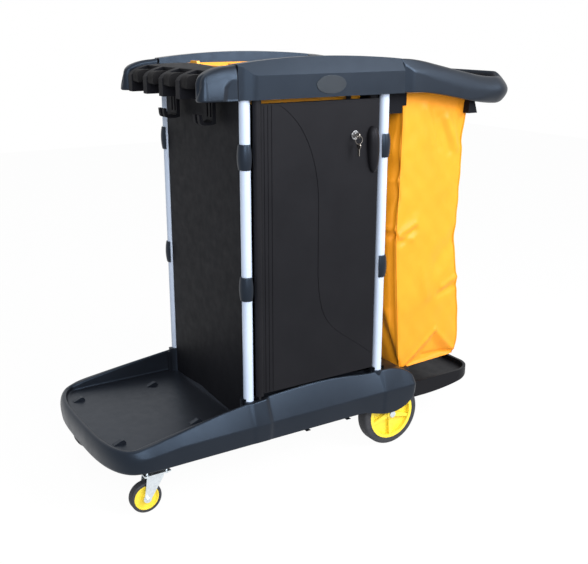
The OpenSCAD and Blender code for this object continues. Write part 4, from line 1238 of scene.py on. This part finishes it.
NEAR_FOLDS = (
    Fold(3.0, (318, 912), (352, 800), 13), Fold(-2.6, (345, 905), (378, 790), 12),
    Fold(5.5, (396, 862), (436, 786), 13), Fold(-4, (372, 868), (412, 778), 11),
    Fold(-3.5, (440, 900), (452, 800), 12), Fold(4.5, (249, 566), (304, 592), 8),
    Fold(3.5, (249, 561), (296, 553), 7), Fold(-5, (262, 545), (306, 574), 9),
    Fold(-3, (268, 600), (300, 625), 16), Fold(-6, (456, 540), (392, 470), 26),
    Fold(4.5, (466, 425), (408, 402), 8), Fold(-4, (466, 398), (398, 380), 10),
    Fold(3, (330, 470), (352, 380), 15), FootFold((393, 278), (286, 188), (478, 190)))
FRONT_FOLDS = (
    Fold(-10, (-148, 752), (-80, 738), 22), Fold(-8, (-160, 672), (-96, 640), 22),
    Fold(4, (-168, 712), (-90, 696), 8), Fold(-3, (-166, 840), (-60, 822), 24),
    Fold(-6, (-174, 566), (60, 570), 6), Fold(4, (-174, 582), (60, 588), 9),
    Fold(3, (-150, 548), (50, 545), 12), Fold(-10, (-112, 340), (-150, 205), 16),
    Fold(5, (-146, 350), (-164, 215), 8), Fold(-9, (-60, 330), (-20, 200), 24),
    Fold(5, (-90, 330), (-88, 205), 12), FootFold((40, 300), (-40, 190), (150, 190)))
BACK_FOLDS = (
    Fold(-6, (-150, 560), (150, 552), 9), Fold(4, (-140, 580), (150, 575), 10),
    Fold(6, (-120, 860), (-40, 700), 16), Fold(-5, (110, 880), (60, 690), 18),
    FootFold((10, 320), (-150, 190), (150, 190)))
FAR_FOLDS = (
    Fold(5, (300, 880), (350, 760), 14), Fold(-4, (420, 890), (390, 760), 14),
    Fold(-5, (262, 545), (330, 574), 10), Fold(4, (262, 562), (330, 592), 9),
    FootFold((350, 290), (276, 190), (470, 190)))


@dataclass
class WasteBag:
    """Slack coated bag that wraps over the bag frame, hangs in folds and sags above the rear tray.

    All fields are in millimetres, in the frame of the solids, but for the counts and shares.
    """

    wall: float = 0.9
    corner: float = 7.0
    corner_from: float = 0.86
    corner_most: float = 0.45
    side_points: int = 64
    hem_rows: int = 12
    lip_rows: int = 9
    wall_rows: int = 150
    turn_rows: int = 8
    foot_rows: int = 15
    welt: float = 1.9
    welt_out: float = 0.9
    welt_at: float = 0.93
    welt_skip: int = 6
    welt_sides: int = 8
    lip_z: float = 934.5
    lip_r: float = 5.0
    hem_z: float = 886.0
    hem_in: float = 10.6
    foot_z: float = 188.0
    foot_r: float = 8.0
    foot_in: float = 78.0
    foot_sag: float = 2.5
    foot_tilt: float = 0.04
    tilt_x: float = 365.0
    tilt_fade: Pair = (260.0, 185.0)
    fold_fade: tuple[Pair, Pair] = ((180.0, 190.0), (916.0, 890.0))
    drop_z: Pair = (187.0, 932.0)
    side_x: Pair = (250.0, 465.0)
    swell: float = 6.0
    belly: float = 52.0
    belly_half: float = 174.0
    belly_fade: tuple[Pair, Pair] = ((0.02, 0.22), (0.98, 0.8))
    wave: float = 5.0
    wave_l: float = 27.0
    wave_sway: Pair = (0.8, 130.0)
    wave_fade: Pair = (190.0, 300.0)
    crumples: tuple[Row, ...] = ((0.8, 9, 31, 0, 19, 23), (0.5, 17, -13, 1.7, 47, 11))
    seam_y: float = -162.0
    seam_w: float = 3.4
    seam_depth: float = 5.5
    seam_fade: Pair = (190.0, 260.0)
    blur: float = 16.0
    levels: Row = (178, 192, 207, 240, 338, 386, 499, 560, 637, 747, 805, 880, 905, 936)
    front: Row = (280, 275, 270, 265, 258, 254, 248, 246, 249, 252, 251, 249, 246.4, 246.4)
    back: Row = (466, 474, 479, 481, 472, 466, 453, 452, 455, 459, 457, 463, 469, 470.6)
    half: Row = (164, 167, 170, 172, 174, 174, 173, 172, 171, 172, 174, 178, 179.3, 179.3)

    def build(self, material: Material) -> list[Piece]:
        """Loft the bag and its welted seams, and hang them on the frame.

        Args:
            material: Coated cloth.

        Returns:
            The bag and its seams.
        """
        points, uv, wall = self.shell()
        rows, cols = points.shape[:2]
        faces = [grid_faces(rows, cols, True)[:, ::-1], [ring_ends(rows, cols)[1][::-1]]]
        bag = make_mesh("waste_bag_cloth", points * MM, faces, uv)
        thick = bag.modifiers.new("cloth", "SOLIDIFY")
        thick.thickness = self.wall * MM
        thick.offset = -1.0
        welts = make_mesh("waste_bag_welts", *self.welts(points, wall))
        for piece in (bag, welts):
            fit(piece, material, Body.CHASSIS)
        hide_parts("waste_bag")
        return [bag, welts]

    @staticmethod
    def area(points: Array) -> float:
        """Area of the grid, as the sum of the two triangles of each cell, with the ring closed.

        Args:
            points: Rows x points x 3 array.

        Returns:
            The area, in the square of the points' unit.
        """
        ring = np.concatenate([points, points[:, :1]], 1)
        a, b, c, d = ring[:-1, :-1], ring[:-1, 1:], ring[1:, 1:], ring[1:, :-1]
        pairs = np.cross(b - a, c - a), np.cross(c - a, d - a)
        return float(sum(np.linalg.norm(pair, axis=-1) for pair in pairs).sum() / 2)

    def at_level(self, z: Array, values: Row) -> Array:
        """Read a table over height as a curve: straight steps, blurred below the frame's bar.

        Args:
            z: Heights.
            values: Value at each of the levels.

        Returns:
            The value at each height.
        """
        step, margin, reach, bar_z = 2.0, 90, 24, 900
        fine = np.arange(self.levels[0] - margin, self.levels[-1] + margin, step)
        kernel = np.exp(-0.5 * (np.arange(-reach, reach + 1) * step / self.blur) ** 2)
        straight = np.interp(fine, self.levels, values)
        line = np.convolve(straight, kernel / kernel.sum(), "same")
        line = np.where(fine > bar_z, straight, line)
        inner = slice(reach + 2, -reach - 2)
        return np.interp(z, fine[inner], line[inner])

    def ring(self, x0: Array, x1: Array, y1: Array) -> tuple[Array, Array]:
        """Rounded rectangles, one a row: straight sides joined by quarter circles.

        Args:
            x0: Front face of each row.
            x1: Back face of each row.
            y1: Half width of each row.

        Returns:
            Points and outward normals, as rows x points x 2.
        """
        n = self.side_points
        turn = np.arange(4 * n) / n
        side = np.floor(turn).astype(int)
        t = turn - side
        arc = np.clip((t - self.corner_from) / (1 - self.corner_from), 0, 1) * np.pi / 2
        run = np.clip(t / self.corner_from, 0, 1)
        r = np.minimum(self.corner, self.corner_most * np.minimum(x1 - x0, 2 * y1))[:, None]
        cx = np.stack([x0, x1, x1, x0], -1) + r * np.array([[1, -1, -1, 1]])
        cy = np.stack([-y1, -y1, y1, y1], -1) + r * np.array([[1, 1, -1, -1]])
        end = (side + 1) % 4
        px = cx[:, side] + (cx[:, end] - cx[:, side]) * run
        py = cy[:, side] + (cy[:, end] - cy[:, side]) * run
        out = (side - 1) * np.pi / 2 + arc
        normal = np.stack([np.cos(out), np.sin(out)], -1)
        points = np.stack([px, py], -1) + r[..., None] * normal[None]
        return points, np.broadcast_to(normal, points.shape)

    def folds(self, x: Array, y: Array, z: Array, normal: Array) -> Array:
        """Height of the folds out of each face, weighted by how far the face looks that way.

        The sides swell as a half sine each way, the front bellies as a parabola with a groove
        for its seam, the back hangs in waves, and a small crumple runs over all.

        Args:
            x: Place along the cart.
            y: Place across it.
            z: Height.
            normal: Outward normals.

        Returns:
            The height of the folds.
        """
        up, along = (np.clip((v - v0) / (v1 - v0), 0, 1)
                     for v, (v0, v1) in ((z, self.drop_z), (x, self.side_x)))
        swell = self.swell * np.sin(np.pi * up) * np.sin(np.pi * along)
        belly = self.belly * (1 - (y / self.belly_half) ** 2) * fade(up, *self.belly_fade)
        seam = np.exp(-(((y - self.seam_y) / self.seam_w) ** 2)) * smooth_step(z, *self.seam_fade)
        sway, sway_l = self.wave_sway
        waves = self.wave * np.cos(y / self.wave_l + sway * np.sin(z / sway_l)) * (1 - up)
        lift = sum(height * np.sin(x / a + z / b + shift) * np.sin(z / c + y / d)
                   for height, a, b, shift, c, d in self.crumples)
        nx, ny = normal[..., 0], normal[..., 1]
        for facing, form, table, p in (
                (-ny, swell, NEAR_FOLDS, x),
                (-nx, belly - self.seam_depth * seam, FRONT_FOLDS, y),
                (nx, waves * smooth_step(z, *self.wave_fade), BACK_FOLDS, y),
                (ny, swell, FAR_FOLDS, x)):
            face = form + sum(fold.lift(p, z) for fold in table)
            lift = lift + np.clip(facing, 0, 1) ** 2 * face
        return lift

    def rows(self) -> tuple[Array, Array]:
        """Height and inset of each row: up the hem, over the bar, down the wall and under the foot.

        Returns:
            The two values of each row.
        """
        over = np.linspace(0, np.pi, self.lip_rows)[1:-1]
        turn = np.linspace(0, np.pi / 2, self.turn_rows)[1:]
        under = np.linspace(0, 1, self.foot_rows)[1:]
        shoulder, foot = self.lip_z - self.lip_r, self.foot_z - self.foot_r
        z = np.concatenate([np.linspace(self.hem_z, shoulder, self.hem_rows),
                            shoulder + self.lip_r * np.sin(over),
                            np.linspace(shoulder, self.foot_z, self.wall_rows),
                            self.foot_z - self.foot_r * np.sin(turn),
                            foot - self.foot_sag * np.sin(under * np.pi / 2)])
        inset = np.concatenate([np.full(self.hem_rows, self.hem_in),
                                self.hem_in * (0.5 + 0.5 * np.cos(over)),
                                np.zeros(self.wall_rows),
                                self.foot_r * (1 - np.cos(turn)),
                                self.foot_r + (self.foot_in - self.foot_r) * under])
        return z, inset

    def shell(self) -> tuple[Array, Array, Array]:
        """Work out the bag: hem inside the frame, over its bar, down the walls and across the foot.

        Every row is a rounded rectangle at one height; folds push the rows of the walls out or in.

        Returns:
            Points on a rows x points grid, the flat place of each in metres, and which rows
            are wall.
        """
        z, inset = self.rows()
        wall = inset < 1
        x0, x1, y1 = (self.at_level(z, v) for v in (self.front, self.back, self.half))
        ring, normal = self.ring(x0 + inset, x1 - inset, y1 - inset)
        tall = np.broadcast_to(z[:, None], ring.shape[:2])
        lift = self.folds(ring[..., 0], ring[..., 1], tall, normal)
        lift = lift * (fade(z, *self.fold_fade) * wall)[:, None]
        ring = ring + normal * lift[..., None]
        low = smooth_step(-z, *(-v for v in self.tilt_fade))
        tilt = self.foot_tilt * (ring[..., 0] - self.tilt_x) * low[:, None]
        points = np.concatenate([ring, (tall + tilt)[..., None]], -1)

        def run(axis: int) -> Array:
            """Mean length along one axis of the grid, summed from its start."""
            steps = np.linalg.norm(np.diff(points, axis=axis), axis=-1).mean(1 - axis)
            return np.concatenate([[0], np.cumsum(steps)])

        uv = np.stack(np.broadcast_arrays(run(1)[None], run(0)[:, None]), -1).reshape(-1, 2) * MM
        return points, uv, wall

    def welts(self, points: Array, wall: Array) -> tuple[Array, Array]:
        """Piped seams: a thin tube down each corner of the bag, a little outside it.

        Args:
            points: The bag's grid.
            wall: Which rows are wall.

        Returns:
            Points in metres and quads.
        """
        n = self.side_points
        rows = np.flatnonzero(wall)[self.welt_skip:]
        middle = points[rows].mean(1)
        tubes, faces, count = [], [], 0
        for corner in range(4):
            path = points[rows, (corner * n + int(self.welt_at * n)) % (4 * n)]
            out = path - middle
            out[:, 2] = 0
            path = path + self.welt_out * out / np.linalg.norm(out, axis=1, keepdims=True)
            ring, quads = tube(path, self.welt, self.welt_sides)
            tubes.append(ring.reshape(-1, 3))
            faces.append(quads + count)
            count += len(tubes[-1])
        return np.concatenate(tubes) * MM, np.concatenate(faces)


def mix_shaders(tree: bpy.types.NodeTree, fac: Socket, first: Socket, second: Socket) -> Socket:
    """Mix two shaders: the first shows where the share is 0, the second where it is 1.

    Args:
        tree: Node tree that gets the mix.
        fac: Share of the second shader.
        first: First shader.
        second: Second shader.

    Returns:
        The mixed shader.
    """
    mix = tree.nodes.new("ShaderNodeMixShader")
    for out, into in zip((fac, first, second), mix.inputs):
        tree.links.new(out, into)
    return mix.outputs["Shader"]


@dataclass(frozen=True)
class Lamp:
    """Soft rectangular lamp: its place, the point that it looks at and its size, in metres."""

    name: str
    at: Place
    aim: Place
    size: Pair
    watts: float

    def build(self) -> None:
        """Put the lamp into the scene."""
        data = bpy.data.lights.new(self.name, "AREA")
        data.shape = "RECTANGLE"
        data.size, data.size_y = self.size
        data.energy = self.watts
        obj = bpy.data.objects.new(self.name, data)
        obj.location = self.at
        look = Vector(self.aim) - Vector(self.at)
        obj.rotation_euler = look.to_track_quat("-Z", "Y").to_euler()
        bpy.context.scene.collection.objects.link(obj)


@dataclass
class Studio:
    """Plain pale floor, soft lamps and the camera of the photograph."""

    eye: Place = (-1.172, -1.916, 1.100)
    yaw: float = 32.20
    pitch: float = 16.52
    roll: float = 0.07
    focal_px: float = 869.0
    image_w: float = 588.0
    sky: Colour = (0.93, 0.96, 1.0)
    sky_light: float = 0.42
    floor_half: float = 6.0
    floor_grey: float = 0.5
    floor_white: float = 1.03
    white_share: float = 0.94
    lamps: tuple[Lamp, ...] = (
        Lamp("key", (-1.2, -2.8, 1.8), (0.0, 0.0, 0.5), (1.8, 1.6), 96.0),
        Lamp("side", (1.5, -2.0, 2.6), (0.0, -0.1, 0.8), (1.2, 1.2), 52.0),
        Lamp("low", (1.15, -2.2, 1.65), (-0.3, -0.2, 0.2), (1.3, 0.8), 46.0),
        Lamp("top", (-0.6, 0.3, 3.1), (0.0, 0.0, 0.4), (2.2, 2.2), 16.0))

    def build(self) -> None:
        """Set up the view, the light and the floor."""
        bpy.context.scene.view_settings.view_transform = "Standard"
        self.camera()
        self.world()
        for lamp in self.lamps:
            lamp.build()
        self.floor()

    def camera(self) -> None:
        """Place the camera: a pinhole turned by yaw and pitch at the photograph's eye point."""
        data = bpy.data.cameras.new("camera")
        data.sensor_fit = "HORIZONTAL"
        data.sensor_width = 36.0
        data.lens = self.focal_px / self.image_w * data.sensor_width
        cam = bpy.data.objects.new("camera", data)
        bpy.context.scene.collection.objects.link(cam)
        turn = (Matrix.Rotation(math.radians(-self.yaw), 4, "Z")
                @ Matrix.Rotation(math.radians(90 - self.pitch), 4, "X")
                @ Matrix.Rotation(math.radians(self.roll), 4, "Z"))
        cam.matrix_world = Matrix.Translation(Vector(self.eye)) @ turn
        bpy.context.scene.camera = cam

    def world(self) -> None:
        """White surround for the camera and for gloss, softer for the light that it gives."""
        world = bpy.data.worlds.new("studio")
        world.use_nodes = True
        bpy.context.scene.world = world
        tree = world.node_tree
        soft = tree.nodes["Background"]
        soft.inputs["Color"].default_value = (*self.sky, 1.0)
        soft.inputs["Strength"].default_value = self.sky_light
        white = tree.nodes.new("ShaderNodeBackground")
        white.inputs["Color"].default_value = (1.0, 1.0, 1.0, 1.0)
        white.inputs["Strength"].default_value = 1.0
        mixed = mix_shaders(tree, self.seen_directly(tree), soft.outputs["Background"],
                            white.outputs["Background"])
        tree.links.new(mixed, tree.nodes["World Output"].inputs["Surface"])

    @staticmethod
    def seen_directly(tree: bpy.types.NodeTree) -> Socket:
        """One for camera, gloss and transmission rays, as the larger of the three tests.

        Args:
            tree: Node tree that gets the test.

        Returns:
            The socket that holds 1 or 0.
        """
        path = tree.nodes.new("ShaderNodeLightPath")
        out = path.outputs["Is Camera Ray"]
        for kind in ("Is Glossy Ray", "Is Transmission Ray"):
            larger = tree.nodes.new("ShaderNodeMath")
            larger.operation = "MAXIMUM"
            tree.links.new(out, larger.inputs[0])
            tree.links.new(path.outputs[kind], larger.inputs[1])
            out = larger.outputs["Value"]
        return out

    def floor(self) -> None:
        """A wide pale floor that is white to the camera and to gloss, and keeps a soft shadow."""
        s = self.floor_half
        corners = np.array([[-s, -s, 0], [s, -s, 0], [s, s, 0], [-s, s, 0]], float)
        obj = make_mesh("floor", corners, np.array([[0, 1, 2, 3]]))
        n = NodeSketch("pale_floor")
        n.set(Base_Color=(self.floor_grey,) * 3, Roughness=0.9, Specular_IOR_Level=0.1)
        glow = n.tree.nodes.new("ShaderNodeEmission")
        glow.inputs["Strength"].default_value = self.floor_white
        share = n.tree.nodes.new("ShaderNodeMath")
        share.operation = "MULTIPLY"
        share.inputs[1].default_value = self.white_share
        n.link(self.seen_directly(n.tree), share.inputs[0])
        mixed = mix_shaders(n.tree, share.outputs["Value"], n.shader.outputs["BSDF"],
                            glow.outputs["Emission"])
        n.link(mixed, n.tree.nodes["Material Output"].inputs["Surface"])
        dress(obj, n.material)


def main() -> None:
    """Build the scene: studio, finishes, CAD nodes and new pieces, in that order."""
    logging.basicConfig(level=logging.INFO, format="%(name)s: %(message)s")
    Studio().build()
    materials = {slot: finish.make() for slot, finish in FINISHES.items()}
    CadDressing().dress(materials)
    pieces = BasePlatform().build(materials[Slot.PLASTIC])
    pieces += PushHandle().build(materials[Slot.PLASTIC])
    pieces += RackShoulders().build(materials[Slot.PLASTIC])
    pieces += DoorPull().build(bpy.data.materials[PANEL_BLACK.name])
    pieces += WasteBag().build(materials[Slot.CLOTH])
    for piece in pieces:
        LOG.info("made %s", piece.name)


if __name__ == "__main__":
    main()
